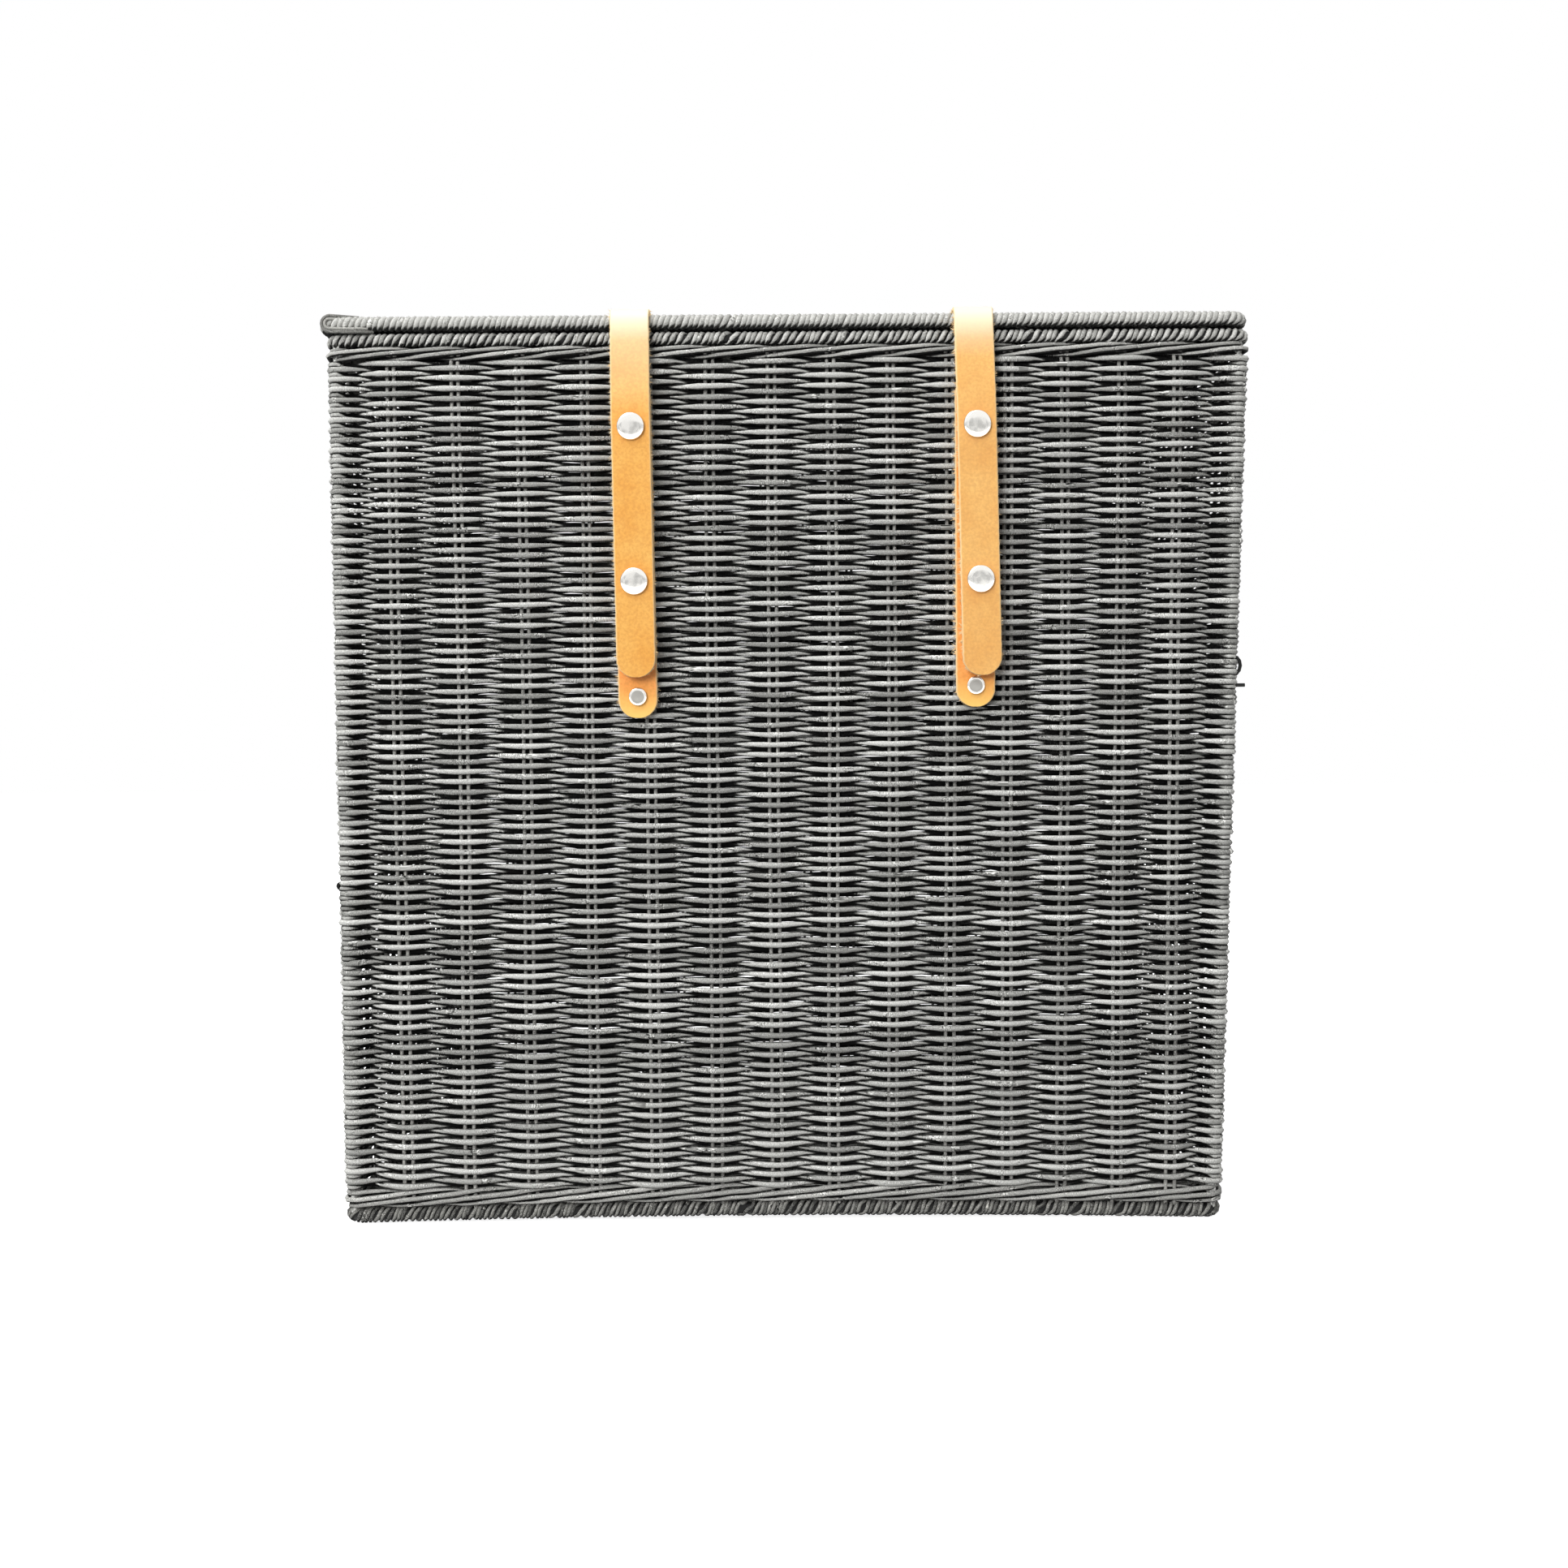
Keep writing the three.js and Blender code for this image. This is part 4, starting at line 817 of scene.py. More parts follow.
def node_place(node):
    """Where a CAD node's middle lies across the front face and how far down it."""
    low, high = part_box(node)
    middle = (low + high) / 2
    return middle.x, (middle - face_top).dot(face_down)


def close_ended(path):
    """Points along a strap's middle line, close together at its rounded ends, with the way to each."""
    lengths = [(b - a).length for a, b in zip(path, path[1:])]
    whole = sum(lengths)
    tip = [END_ROUND * (1 - math.cos(math.pi / 2 * i / END_STEPS)) for i in range(END_STEPS)]
    body = round((whole - 2 * END_ROUND) / STRAP_STEP)
    ways = tip + [END_ROUND + (whole - 2 * END_ROUND) * i / body for i in range(body + 1)]
    ways += [whole - t for t in reversed(tip)]
    points, leg, passed = [], 0, 0.0
    for way in ways:
        while leg < len(lengths) - 1 and way > passed + lengths[leg]:
            passed += lengths[leg]
            leg += 1
        points.append(path[leg].lerp(path[leg + 1], (way - passed) / lengths[leg]))
    return points, ways


# One section through a strap, round from its outer face: place across, level and how far it is a cut edge
FLAT = [(u, RIM_CUT if abs(u) == 1 else 0.0) for u in ACROSS]
SECTION = [(u, 1, cut) for u, cut in FLAT] + [(1, SIDE_LEVEL, 1.0), (1, -SIDE_LEVEL, 1.0)]
SECTION += [(u, -1, cut) for u, cut in reversed(FLAT)] + [(-1, -SIDE_LEVEL, 1.0), (-1, SIDE_LEVEL, 1.0)]


def leather_strip(name, path, presses, pale, seed, leather):
    """A strip of leather along its middle line, with uneven cut edges. Snaps and rivets press it at places
    along it, and it is pale by shares given along it. Returns its object and the lines of its two edges."""
    middles, ways = close_ended(path)
    points, faces, edges = [], [], [[], []]
    marks = {key: [] for key in ("hide", "cut", "flesh", "press", "stretch")}
    count = len(SECTION)
    for i, (middle, way) in enumerate(zip(middles, ways)):
        ahead = (middles[min(i + 1, len(middles) - 1)] - middles[max(i - 1, 0)]).normalized()
        out = Vector((0, ahead.z, -ahead.y)).normalized()
        side = out.cross(ahead)
        short = max(0.0, END_ROUND - min(way, ways[-1] - way))
        half = STRAP / 2 - END_ROUND + math.sqrt(END_ROUND ** 2 - short ** 2)
        rag = [
            noise.noise(Vector((way / RAGGED_STEP, hand * RAGS_APART, seed))) * RAGGED for hand in (-1, 1)
        ]
        after = next((k for k, (at, _) in enumerate(pale) if at > way), len(pale) - 1)
        (at, low), (to, high) = pale[max(after - 1, 0)], pale[after]
        pale_share = low + (high - low) * min(1.0, max(0.0, (way - at) / max(to - at, MM)))
        for u, level, cut in SECTION:
            flat = abs(level) == 1
            across = u * (half - (EDGE_BEVEL if flat else 0))
            across += rag[u > 0] if abs(u) > RAGGED_FROM else 0
            nearest = min(((way - p) ** 2 + across ** 2 for p in presses), default=math.inf)
            pressed = math.exp(-nearest / PRESS_REACH ** 2)
            ripple = noise.noise(Vector((way * WAVES_ALONG, u * WAVES_ACROSS, seed + WAVES_APART))) * WAVE
            points.append(middle + side * across + out * (level * LEATHER / 2 + (ripple - pressed * DENT)))
            marks["hide"].append(Vector((across, way + seed, level)))
            marks["cut"].append(cut)
            marks["flesh"].append(float(flat and level < 0))
            marks["press"].append(pressed)
            marks["stretch"].append(pale_share)
        if i:
            first = (i - 1) * count
            for k in range(count):
                after = (k + 1) % count
                faces.append((first + k, first + count + k, first + count + after, first + after))
        for hand in (0, 1):
            outer = side * (2 * hand - 1)
            edges[hand].append((middle + side * ((2 * hand - 1) * (half - EDGE_INSET)), outer))
    faces += [tuple(range(count)), tuple(reversed(range(len(points) - count, len(points))))]
    mesh = bpy.data.meshes.new(name)
    mesh.from_pydata(points, [], faces)
    carry(mesh, marks)
    shape = bmesh.new()
    shape.from_mesh(mesh)
    bmesh.ops.recalc_face_normals(shape, faces=shape.faces)
    shape.to_mesh(mesh)
    shape.free()
    mesh.shade_smooth()
    mesh.materials.append(leather)
    strip = bpy.data.objects.new(name, mesh)
    scene.collection.objects.link(strip)
    return strip, edges


# Vegetable-tanned cowhide, rolled and waxed. The eye sees a soft satin skin with fine pores, a warm tan that
# clouds from yellow to orange, and raw pale cut edges. It pales by a share given along each strap: over the
# bend, where the leather is stretched, and fading down from it as painted light from above. It is deeper
# round each snap and rivet, where they press it, and this deeper tint also paints the shade round the caps.
# Real pores lie closer together and are drawn 1.4 mm apart so that they show.
PORE, CLOUD = 1.4 * MM, 16 * MM
PORE_DEPTH, PORE_RELIEF = 0.08 * MM, 0.35
CLOUD_SHARE = (0.3, 0.7, 0.0, 1.0)
PORE_SHARE = (0.35, 0.65, 0.42, 0.0)
# How far a press deepens the tan: real where snaps and rivets press the hide, and painted shade round the
# raised caps.
PRESS_SHARE = (0.1, 1.0, 0.0, 0.75)
HIDE_ROUGHNESS = (0.0, 1.0, 0.48, 0.9)


def tanned(name, deep_tan, light_tan, pale_tan):
    """Leather whose grain clouds between two tans and pales towards a third."""
    material = bpy.data.materials.new(name)
    material.use_nodes = True
    tree = material.node_tree
    shader = tree.nodes["Principled BSDF"]
    marks = {
        mark: add(tree, "ShaderNodeAttribute", attribute_name=mark).node.outputs
        for mark in ("hide", "cut", "flesh", "press", "stretch")
    }
    place = marks.pop("hide")["Vector"]
    cut, flesh, press, stretch = (outputs["Fac"] for outputs in marks.values())
    clouds = add(tree, "ShaderNodeTexNoise", place, 1 / CLOUD, 3.0, 0.55)
    pores = add(tree, "ShaderNodeTexNoise", place, 1 / PORE, 2.0, 0.6)
    warmth = add(tree, "ShaderNodeMapRange", clouds, *CLOUD_SHARE)
    speckle = add(tree, "ShaderNodeMapRange", pores, *PORE_SHARE)
    pressed = add(tree, "ShaderNodeMapRange", press, *PRESS_SHARE)
    colour = linear(deep_tan)
    for share, code in (
        (warmth, light_tan), (speckle, "#c98238"), (pressed, "#dd8c36"), (stretch, pale_tan),
        (flesh, "#cfa873"), (cut, "#f0d6a6"),
    ):
        colour = add(tree, "ShaderNodeMix", share, colour, linear(code), data_type="RGBA")
    tree.links.new(colour, shader.inputs["Base Color"])
    dull = add(tree, "ShaderNodeMath", cut, flesh, operation="MAXIMUM")
    rough = add(tree, "ShaderNodeMapRange", dull, *HIDE_ROUGHNESS)
    tree.links.new(rough, shader.inputs["Roughness"])
    relief = {"Strength": PORE_RELIEF, "Distance": PORE_DEPTH, "Height": pores}
    tree.links.new(add(tree, "ShaderNodeBump", named=relief), shader.inputs["Normal"])
    return material


closing_hide = tanned("vegetable_tanned_leather", "#e2a24a", "#edb761", "#fbf1d2")
# The under straps take a brighter, more orange copy of the leather. It paints in the warm light that bounces
# between the two straps and lifts the shadow that the closing straps cast on them.
under_hide_painted_glow = tanned("tanned_leather_painted_glow", "#ffa050", "#ffb264", "#ffd878")

# Fibres of the flesh side stand out as short pale tufts along every edge that the strap cutter left raw.
# Real ones are finer than a hair and are drawn thicker so that they show.
FIBRE, FIBRE_LENGTH, FIBRE_SPACING = 0.2 * MM, 1.9 * MM, 0.42 * MM
TANGLE, SHORTEST = 0.9, 0.25
TUFTS_PER_METRE, TUFT = 330.0, (0.4, 0.62, 0.15, 1.2)
fibres, given = tree_with(
    "edge_fibres", Edge="Geometry", Spacing="Float", Length="Float", Thickness="Float", Tangle="Float",
    Seed="Int", Material="Material",
)
path = add(fibres, "GeometryNodeMeshToCurve", given["Edge"])
roots = add(
    fibres, "GeometryNodeResampleCurve", named={"Curve": path, "Length": given["Spacing"]}, mode="LENGTH"
)
hair = add(
    fibres, "GeometryNodeMeshCone",
    named={"Vertices": 3, "Radius Top": 0.0, "Radius Bottom": given["Thickness"], "Depth": given["Length"]},
)
outward = add(fibres, "GeometryNodeInputNamedAttribute", "out", data_type="FLOAT_VECTOR")
straight = add(fibres, "FunctionNodeAlignRotationToVector", named={"Vector": outward}, axis="Z")
any_way = add(
    fibres, "FunctionNodeRandomValue", (-1, -1, -1), (1, 1, 1), named={"Seed": given["Seed"]},
    data_type="FLOAT_VECTOR",
)
turned_by = add(fibres, "ShaderNodeVectorMath", any_way, given["Tangle"], operation="SCALE")
tangled = add(
    fibres, "FunctionNodeRotateRotation", straight, add(fibres, "FunctionNodeEulerToRotation", turned_by),
    rotation_space="LOCAL",
)
lush = add(fibres, "GeometryNodeInputNamedAttribute", "lush", data_type="FLOAT")
grown_by = add(
    fibres, "FunctionNodeRandomValue", SHORTEST, 1.0, named={"Seed": given["Seed"]}, data_type="FLOAT"
)
size = add(fibres, "ShaderNodeMath", grown_by, lush, operation="MULTIPLY")
clump = add(fibres, "ShaderNodeTexNoise", None, TUFTS_PER_METRE, 1.0)
patch = add(fibres, "ShaderNodeMapRange", clump, *TUFT)
tufted = add(fibres, "ShaderNodeMath", size, patch, operation="MULTIPLY")
tufts = add(
    fibres, "GeometryNodeInstanceOnPoints",
    named={"Points": roots, "Instance": hair, "Rotation": tangled, "Scale": tufted},
)
close_tree(fibres, tufts, given["Material"])

# Raw collagen fibre of the cut hide. The eye sees a matt pale fuzz that varies from tuft to tuft
FUZZ = 3 * MM
raw_fibre = bpy.data.materials.new("raw_leather_fibre")
raw_fibre.use_nodes = True
tree = raw_fibre.node_tree
shader = tree.nodes["Principled BSDF"]
place = add(tree, "ShaderNodeTexCoord").node.outputs["Object"]
shade = add(tree, "ShaderNodeTexNoise", place, 1 / FUZZ, 2.0, 0.5)
tint = add(tree, "ShaderNodeMix", shade, linear("#d9a866"), linear("#fff0cc"), data_type="RGBA")
tree.links.new(tint, shader.inputs["Base Color"])
shader.inputs["Roughness"].default_value = 0.9


def edge_tufts(name, edges, lush, seed):
    """The fibres along the two edges of a strip, fuller on one edge than on the other."""
    source = lines(
        f"{name}_edges", [[p for p, _ in edge] for edge in edges],
        out=[o for edge in edges for _, o in edge],
        lush=[share for edge, share in zip(edges, lush) for _ in edge],
    )
    return grown(
        name, fibres, source, Spacing=FIBRE_SPACING, Length=FIBRE_LENGTH, Thickness=FIBRE, Tangle=TANGLE,
        Seed=seed, Material=raw_fibre,
    )


# Hand, fullness of the fibres on its two edges, seed, and over what length below the bend and to what share
# the closing strap's paleness fades
HANDS = (("left", (1.1, 1.1), 0, 50 * MM, 0.0), ("right", (1.6, 0.9), 40, 22 * MM, 0.07))
ENDS = ("upper", "lower")
for hand, lush, seed, _, _ in HANDS:
    ends = [node_place(f"under_rivet_{hand}_{end}") for end in ENDS]
    snaps = [node_place(f"snap_stud_{hand}_{end}") for end in ENDS]
    lean = (ends[1][0] - ends[0][0]) / (ends[1][1] - ends[0][1])
    first, last = ends[0][1] - RIVET_INSET, ends[1][1] + RIVET_INSET
    path = [on_face(ends[0][0] + lean * (down - ends[0][1]), down, UNDER_OUT) for down in (first, last)]
    presses = [down - first for _, down in ends + snaps]
    pale = [(0, 0.0), (last - first - FADED_TIP, 0.0), (last - first, TIP_PALE)]
    strip, edges = leather_strip(f"under_strap_strip_{hand}", path, presses, pale, seed, under_hide_painted_glow)
    fit(strip, "basket", "tan_leather", f"under_strap_{hand}")
    fit(edge_tufts(f"under_strap_fibres_{hand}", edges, lush, seed), "basket", "tan_leather")

# Closing straps. The same leather, riveted flat on the lid, bent over its front rail and hanging down the
# wall, where it slopes out to the upper snap and ends below the lower one.
CLOSING_OUT = 9 * MM
FLAT_ABOVE_SNAP, END_BELOW_SNAP = 8 * MM, 49 * MM
BEND_STEPS = 14
KNEE_MM, KNEE_STEPS = 14, 8
RIVET_HEAD = 4.7 * MM
OTHER_SEED = 11
rail_low, rail_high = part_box("lid_rail_front")
hub = (rail_low + rail_high) / 2
for hand, lush, seed, fade, faded in HANDS:
    tab_low, tab_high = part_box(f"strap_tab_{hand}")
    tab_x = (tab_low.x + tab_high.x) / 2
    rivets = [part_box(f"tab_rivet_{hand}_{end}")[0].y + RIVET_HEAD for end in ("rear", "front")]
    caps = [node_place(f"snap_cap_{hand}_{end}") for end in ENDS]
    lean = (caps[1][0] - caps[0][0]) / (caps[1][1] - caps[0][1])
    radius = tab_high.z - LEATHER / 2 - hub.z
    knee = on_face(0, caps[0][1] - FLAT_ABOVE_SNAP, CLOSING_OUT)
    end = on_face(0, caps[1][1] + END_BELOW_SNAP, CLOSING_OUT)
    reach_y, reach_z = hub.y - knee.y, hub.z - knee.z
    leave = math.atan2(reach_z, reach_y) + math.asin(radius / math.hypot(reach_y, reach_z))
    path = [Vector((0, tab_high.y, hub.z + radius))]
    for i in range(BEND_STEPS + 1):
        turn = leave * i / BEND_STEPS
        path.append(Vector((0, hub.y - radius * math.sin(turn), hub.z + radius * math.cos(turn))))
    before = knee + (path[-1] - knee).normalized() * KNEE_MM * MM
    after = knee + (end - knee).normalized() * KNEE_MM * MM
    for i in range(KNEE_STEPS + 1):
        share = i / KNEE_STEPS
        path.append(before.lerp(knee, share).lerp(knee.lerp(after, share), share))
    path.append(end)
    for point in path:
        point.x = tab_x + lean * max(0.0, rim_top - point.z)
    flat = tab_high.y - hub.y
    bent = flat + radius * leave
    to_snaps = [bent + (path[BEND_STEPS + 1] - on_face(x, down, CLOSING_OUT)).length for x, down in caps]
    presses = [tab_high.y - y for y in rivets] + to_snaps
    # How far along the strap, and how pale it is there: most on the bend over the rail, where the leather is
    # stretched, and fading down the wall below it as painted light from above
    pale = [(0, 0.05), (flat - 8 * MM, 0.1), (flat, 1), (bent, 0.95)]
    pale += [(bent + 12 * MM, 0.3), (bent + fade, faded)]
    twin = seed + OTHER_SEED
    strip, edges = leather_strip(f"closing_strap_strip_{hand}", path, presses, pale, twin, closing_hide)
    tufts = edge_tufts(f"closing_strap_fibres_{hand}", edges, lush, twin)
    for piece in (strip, tufts):
        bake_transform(piece)
    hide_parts(f"closing_strap_{hand}", f"strap_tab_{hand}")

# Rivets and snap fasteners. All are stamped from sheet steel or brass and nickel plated. The rivets pin the
# straps to wall and lid, each stud is clenched on an under strap, each socket and cap on a closing strap.
ROUND_SIDES = 40
fittings, given = tree_with("turned_fittings", Source="Geometry", Material="Material")
is_place = add(fittings, "GeometryNodeInputNamedAttribute", "place", data_type="FLOAT")
chosen = add(fittings, "FunctionNodeCompare", is_place, 0.5, data_type="FLOAT", operation="GREATER_THAN")
places = add(fittings, "GeometryNodeSeparateGeometry", given["Source"], chosen, domain="POINT")
axis = add(fittings, "GeometryNodeInputNamedAttribute", "axis", data_type="FLOAT_VECTOR")
facing = add(fittings, "FunctionNodeAlignRotationToVector", named={"Vector": axis}, axis="Z")
set_in = add(
    fittings, "GeometryNodeInstanceOnPoints",
    named={"Points": places, "Instance": places.node.outputs["Inverted"], "Rotation": facing},
)
close_tree(fittings, set_in, given["Material"])


def turned_on(name, profile, places):
    """A piece turned from a profile of radius, height and polish, once at each place along its axis."""
    points, faces, rings = [], [], []
    marks = {"place": [], "axis": [], "polish": []}
    bored = profile[0] == profile[-1]
    for radius, height, polish in profile[bored:]:
        ring = []
        for i in range(ROUND_SIDES if radius else 1):
            turn = 2 * math.pi * i / ROUND_SIDES
            ring.append(len(points))
            points.append(Vector((radius * math.cos(turn), radius * math.sin(turn), height)) * MM)
            marks["polish"].append(polish)
        rings.append(ring)
    for low, high in zip(rings, rings[1:] + (rings[:1] if bored else [])):
        for i in range(ROUND_SIDES):
            j = (i + 1) % ROUND_SIDES
            corners = [low[i % len(low)], low[j % len(low)], high[j % len(high)], high[i % len(high)]]
            faces.append(list(dict.fromkeys(corners)))
    marks["place"] = [0.0] * len(points) + [1.0] * len(places)
    marks["axis"] = [Vector((0, 0, 0))] * len(points) + [out for _, out in places]
    marks["polish"] += [0.0] * len(places)
    mesh = bpy.data.meshes.new(f"{name}_source")
    mesh.from_pydata(points + [spot for spot, _ in places], [], faces)
    carry(mesh, marks)
    mesh.shade_smooth()
    return grown(name, fittings, mesh, Material=nickel)


# Nickel plate over stamped metal, tumbled bright. The eye sees a pale mirror with a faint warm cast, soft
# dents and hairline scratches, and a dull grey where a setting die has pressed the rivet heads. Real
# scratches are finer than the render can show and are drawn 0.7 mm apart.
SCRATCH, SCRATCH_HAZE = 0.7 * MM, 0.08
DENTS, DENT_DEPTH, DENT_RELIEF = 3.5 * MM, 0.25 * MM, 0.25
PLATE_ROUGHNESS = (0.0, 1.0, 0.5, 0.09)
nickel = bpy.data.materials.new("polished_nickel_plate")
nickel.use_nodes = True
tree = nickel.node_tree
shader = tree.nodes["Principled BSDF"]
shader.inputs["Metallic"].default_value = 1.0
polish = add(tree, "ShaderNodeAttribute", attribute_name="polish").node.outputs["Fac"]
place = add(tree, "ShaderNodeTexCoord").node.outputs["Object"]
scratches = add(tree, "ShaderNodeTexNoise", place, 1 / SCRATCH, 3.0, 0.7)
dents = add(tree, "ShaderNodeTexNoise", place, 1 / DENTS, 1.0, 0.4)
bright = add(tree, "ShaderNodeMix", polish, linear("#a3a19c"), linear("#efede8"), data_type="RGBA")
tree.links.new(bright, shader.inputs["Base Color"])
dull = add(tree, "ShaderNodeMapRange", polish, *PLATE_ROUGHNESS)
hazed = add(tree, "ShaderNodeMath", scratches, SCRATCH_HAZE, dull, operation="MULTIPLY_ADD")
tree.links.new(hazed, shader.inputs["Roughness"])
relief = {"Strength": DENT_RELIEF, "Distance": DENT_DEPTH, "Height": dents}
tree.links.new(add(tree, "ShaderNodeBump", named=relief), shader.inputs["Normal"])

# How far off the front face each fitting is set, and the profiles in millimetres
RIVET_SEAT, STUD_SEAT, SOCKET_SEAT, CAP_SEAT = 4.1 * MM, 4.1 * MM, 7.5 * MM, 10.5 * MM
TAB_RIVET_DOME = 1.6 * MM
WALL_GRIP, LID_GRIP = 12.4, 10.9
RIVET_TOP = [
    (1.5, 0.0, 1), (4.3, 0.0, 1), (4.65, 0.15, 1), (4.7, 0.6, 1), (4.45, 1.15, 1), (3.9, 1.42, 1),
    (3.45, 1.4, 0.5), (3.2, 1.3, 0), (2.2, 1.46, 0), (1.1, 1.57, 0), (0.0, 1.6, 0),
]
RIVET_FOOT = [
    (0.0, -1.5, 0.3), (4.0, -1.4, 0.3), (4.6, -1.1, 0.6), (4.7, -0.4, 0.6), (4.5, 0.0, 0.6), (1.5, 0.0, 0.6),
]
CAP = [
    (0.0, -1.6, 1), (2.4, -1.6, 1), (2.4, 0.0, 1), (6.7, 0.0, 1), (7.05, 0.2, 1), (7.1, 0.55, 1),
    (7.0, 0.95, 1), (6.75, 1.35, 1), (6.2, 1.72, 1), (5.4, 1.93, 1), (4.2, 2.06, 1), (2.4, 2.15, 1),
    (0.0, 2.2, 1),
]
STUD = [
    (1.9, 0.0, 0.7), (4.8, 0.0, 0.7), (5.0, 0.25, 0.8), (4.8, 0.6, 1), (3.4, 0.78, 1), (2.5, 0.8, 1),
    (2.5, 1.05, 1), (2.7, 1.25, 1), (2.55, 1.45, 1), (2.2, 1.5, 1), (1.9, 1.42, 0.8), (1.9, 0.0, 0.7),
]
SOCKET = [
    (3.0, -1.45, 0.8), (3.3, -1.6, 1), (4.4, -1.5, 1), (4.7, -1.2, 1), (5.5, -1.15, 1), (5.9, -0.85, 1),
    (6.0, -0.3, 1), (5.8, 0.0, 0.8), (2.7, 0.0, 0.6), (2.7, -0.5, 0.6), (3.0, -0.5, 0.6), (3.0, -1.45, 0.8),
]


def rivet_profile(grip):
    """A rivet from its inner head through its shank to its outer head."""
    return [(r, h - grip, p) for r, h, p in RIVET_FOOT] + RIVET_TOP


for hand, *_ in HANDS:
    for kind, piece, profile, seat, body in (
        ("under_rivet", "wall_rivets", rivet_profile(WALL_GRIP), RIVET_SEAT, "basket"),
        ("snap_stud", "snap_studs", STUD, STUD_SEAT, "basket"),
        ("snap_socket", "snap_sockets", SOCKET, SOCKET_SEAT, f"strap_{hand}"),
        ("snap_cap", "snap_caps", CAP, CAP_SEAT, f"strap_{hand}"),
    ):
        nodes = [f"{kind}_{hand}_{end}" for end in ENDS]
        places = [(on_face(*node_place(node), seat), face_out) for node in nodes]
        fit(turned_on(f"{piece}_{hand}", profile, places), body, "nickel_plate", *nodes)
    nodes = [f"tab_rivet_{hand}_{end}" for end in ("front", "rear")]
    places = []
    for node in nodes:
        low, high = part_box(node)
        spot = Vector(((low.x + high.x) / 2, (low.y + high.y) / 2, high.z - TAB_RIVET_DOME))
        places.append((spot, Vector((0, 0, 1))))
    fit(turned_on(f"tab_rivets_{hand}", rivet_profile(LID_GRIP), places), "lid", "nickel_plate", *nodes)
    for end in ENDS:
        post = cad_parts[f"snap_post_{hand}_{end}"]
        post.data.materials.clear()
        post.data.materials.append(nickel)

# Stage: a pale floor that runs out of sight, soft light from above, in front and behind, and a level camera
# at the photograph's height with a small shift that frames the basket as the photograph does.
CAMERA_AWAY, CAMERA_HEIGHT, CAMERA_ASIDE = 800 * MM, 256 * MM, -1.1 * MM
LENS, SENSOR, NEAR = 35.69, 36.0, 0.01
SHIFT, ROLL = -0.0336, math.radians(0.4)
FLOOR_HALF = 6.0

floor_mesh = bpy.data.meshes.new("floor")
corners = [(-FLOOR_HALF, -FLOOR_HALF, 0), (FLOOR_HALF, -FLOOR_HALF, 0), (FLOOR_HALF, FLOOR_HALF, 0)]
floor_mesh.from_pydata(corners + [(-FLOOR_HALF, FLOOR_HALF, 0)], [], [(0, 1, 2, 3)])
floor = bpy.data.objects.new("floor", floor_mesh)
scene.collection.objects.link(floor)


def seen_directly(tree):
    """One where the camera, a reflection or a transmitted ray looks, else zero."""
    rays = add(tree, "ShaderNodeLightPath").node.outputs
    seen = add(tree, "ShaderNodeMath", rays["Is Camera Ray"], rays["Is Glossy Ray"], operation="MAXIMUM")
    return add(tree, "ShaderNodeMath", seen, rays["Is Transmission Ray"], operation="MAXIMUM")


# Matt white paper. It looks white and keeps a faint shadow, but throws little light back up at the basket
PAPER_TONE, PAPER_GLOW = (0.0, 1.0, 0.2, 0.85), (0.0, 1.0, 0.0, 0.8)
WHITE = (1, 1, 1, 1)
paper = bpy.data.materials.new("white_paper_sweep")
paper.use_nodes = True
tree = paper.node_tree
tree.nodes.clear()
seen = seen_directly(tree)
matt = add(tree, "ShaderNodeBsdfDiffuse", add(tree, "ShaderNodeMapRange", seen, *PAPER_TONE))
glow = add(tree, "ShaderNodeEmission", WHITE, add(tree, "ShaderNodeMapRange", seen, *PAPER_GLOW))
add(tree, "ShaderNodeOutputMaterial", add(tree, "ShaderNodeAddShader", matt, glow))
floor_mesh.materials.append(paper)

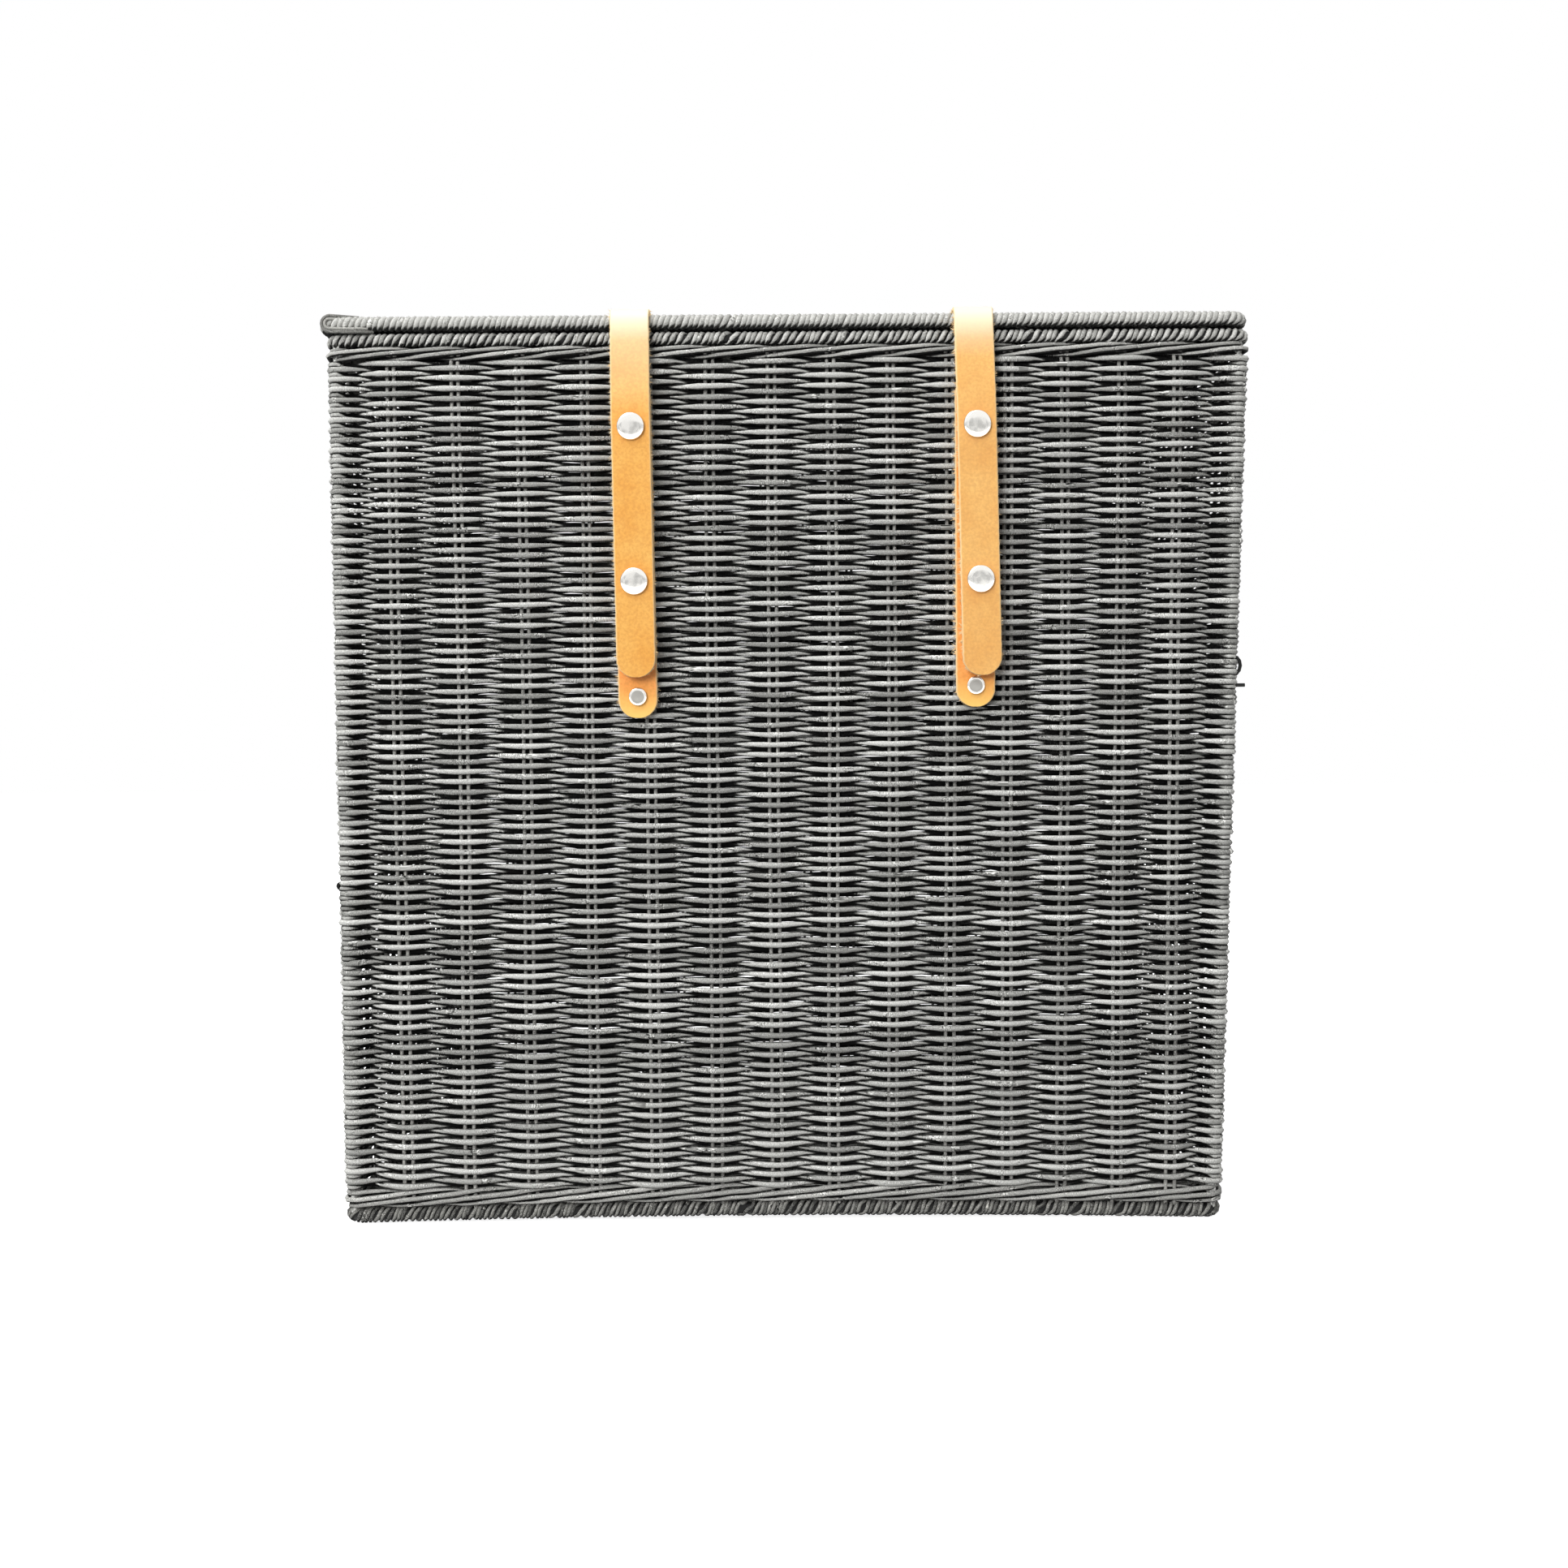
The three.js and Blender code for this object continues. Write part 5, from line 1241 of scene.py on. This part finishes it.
# The room is white to the camera. A reflection sees dim patches low down in it, as polished metal does
# in any room.
AMBIENT = 0.4
PATCHES, DIM_PATCH, LIT_ABOVE = 9.0, (0.42, 0.52, 0.5, 1.0), (0.1, 0.25, 0.0, 1.12)
sky = bpy.data.worlds.new("white_room")
sky.use_nodes = True
tree = sky.node_tree
tree.nodes.clear()
level = add(tree, "ShaderNodeMapRange", seen_directly(tree), 0.0, 1.0, AMBIENT, 1.0)
towards = add(tree, "ShaderNodeTexCoord").node.outputs["Generated"]
patches = add(tree, "ShaderNodeTexNoise", towards, PATCHES, 2.0, 0.5)
dim = add(tree, "ShaderNodeMapRange", patches, *DIM_PATCH)
upward = add(tree, "ShaderNodeSeparateXYZ", towards).node.outputs["Z"]
lit_above = add(tree, "ShaderNodeMapRange", upward, *LIT_ABOVE)
reflected = add(tree, "ShaderNodeMath", dim, lit_above, operation="MAXIMUM")
glossy = add(tree, "ShaderNodeLightPath").node.outputs["Is Glossy Ray"]
strength = add(tree, "ShaderNodeMix", glossy, level, reflected, data_type="FLOAT")
add(tree, "ShaderNodeOutputWorld", add(tree, "ShaderNodeBackground", WHITE, strength))
scene.world = sky

for name, spot, aim, size, watts, mirrored in (
    ("top_softbox", (-0.9, -1.25, 2.5), (0, -0.17, 0.3), 1.7, 44, True),
    ("front_softbox", (-1.2, -2.67, 1.17), (0, -0.17, 0.3), 1.26, 62, False),
    ("back_softbox", (1.6, 2.6, 1.4), (0, 0.1, 0.3), 1.3, 45, False),
):
    lamp = bpy.data.lights.new(name, "AREA")
    lamp.size = size
    lamp.energy = watts
    holder = bpy.data.objects.new(name, lamp)
    holder.location = spot
    holder.rotation_euler = (Vector(aim) - Vector(spot)).to_track_quat("-Z", "Y").to_euler()
    holder.visible_glossy = mirrored
    scene.collection.objects.link(holder)

camera = bpy.data.objects.new("camera", bpy.data.cameras.new("camera"))
camera.data.lens, camera.data.sensor_width = LENS, SENSOR
camera.data.shift_y = SHIFT
camera.data.clip_start = NEAR
camera.location = (CAMERA_ASIDE, rim_box[0].y - CAMERA_AWAY, CAMERA_HEIGHT)
camera.rotation_euler = (math.pi / 2, ROLL, 0)
scene.collection.objects.link(camera)
scene.camera = camera
scene.view_settings.view_transform = "Standard"
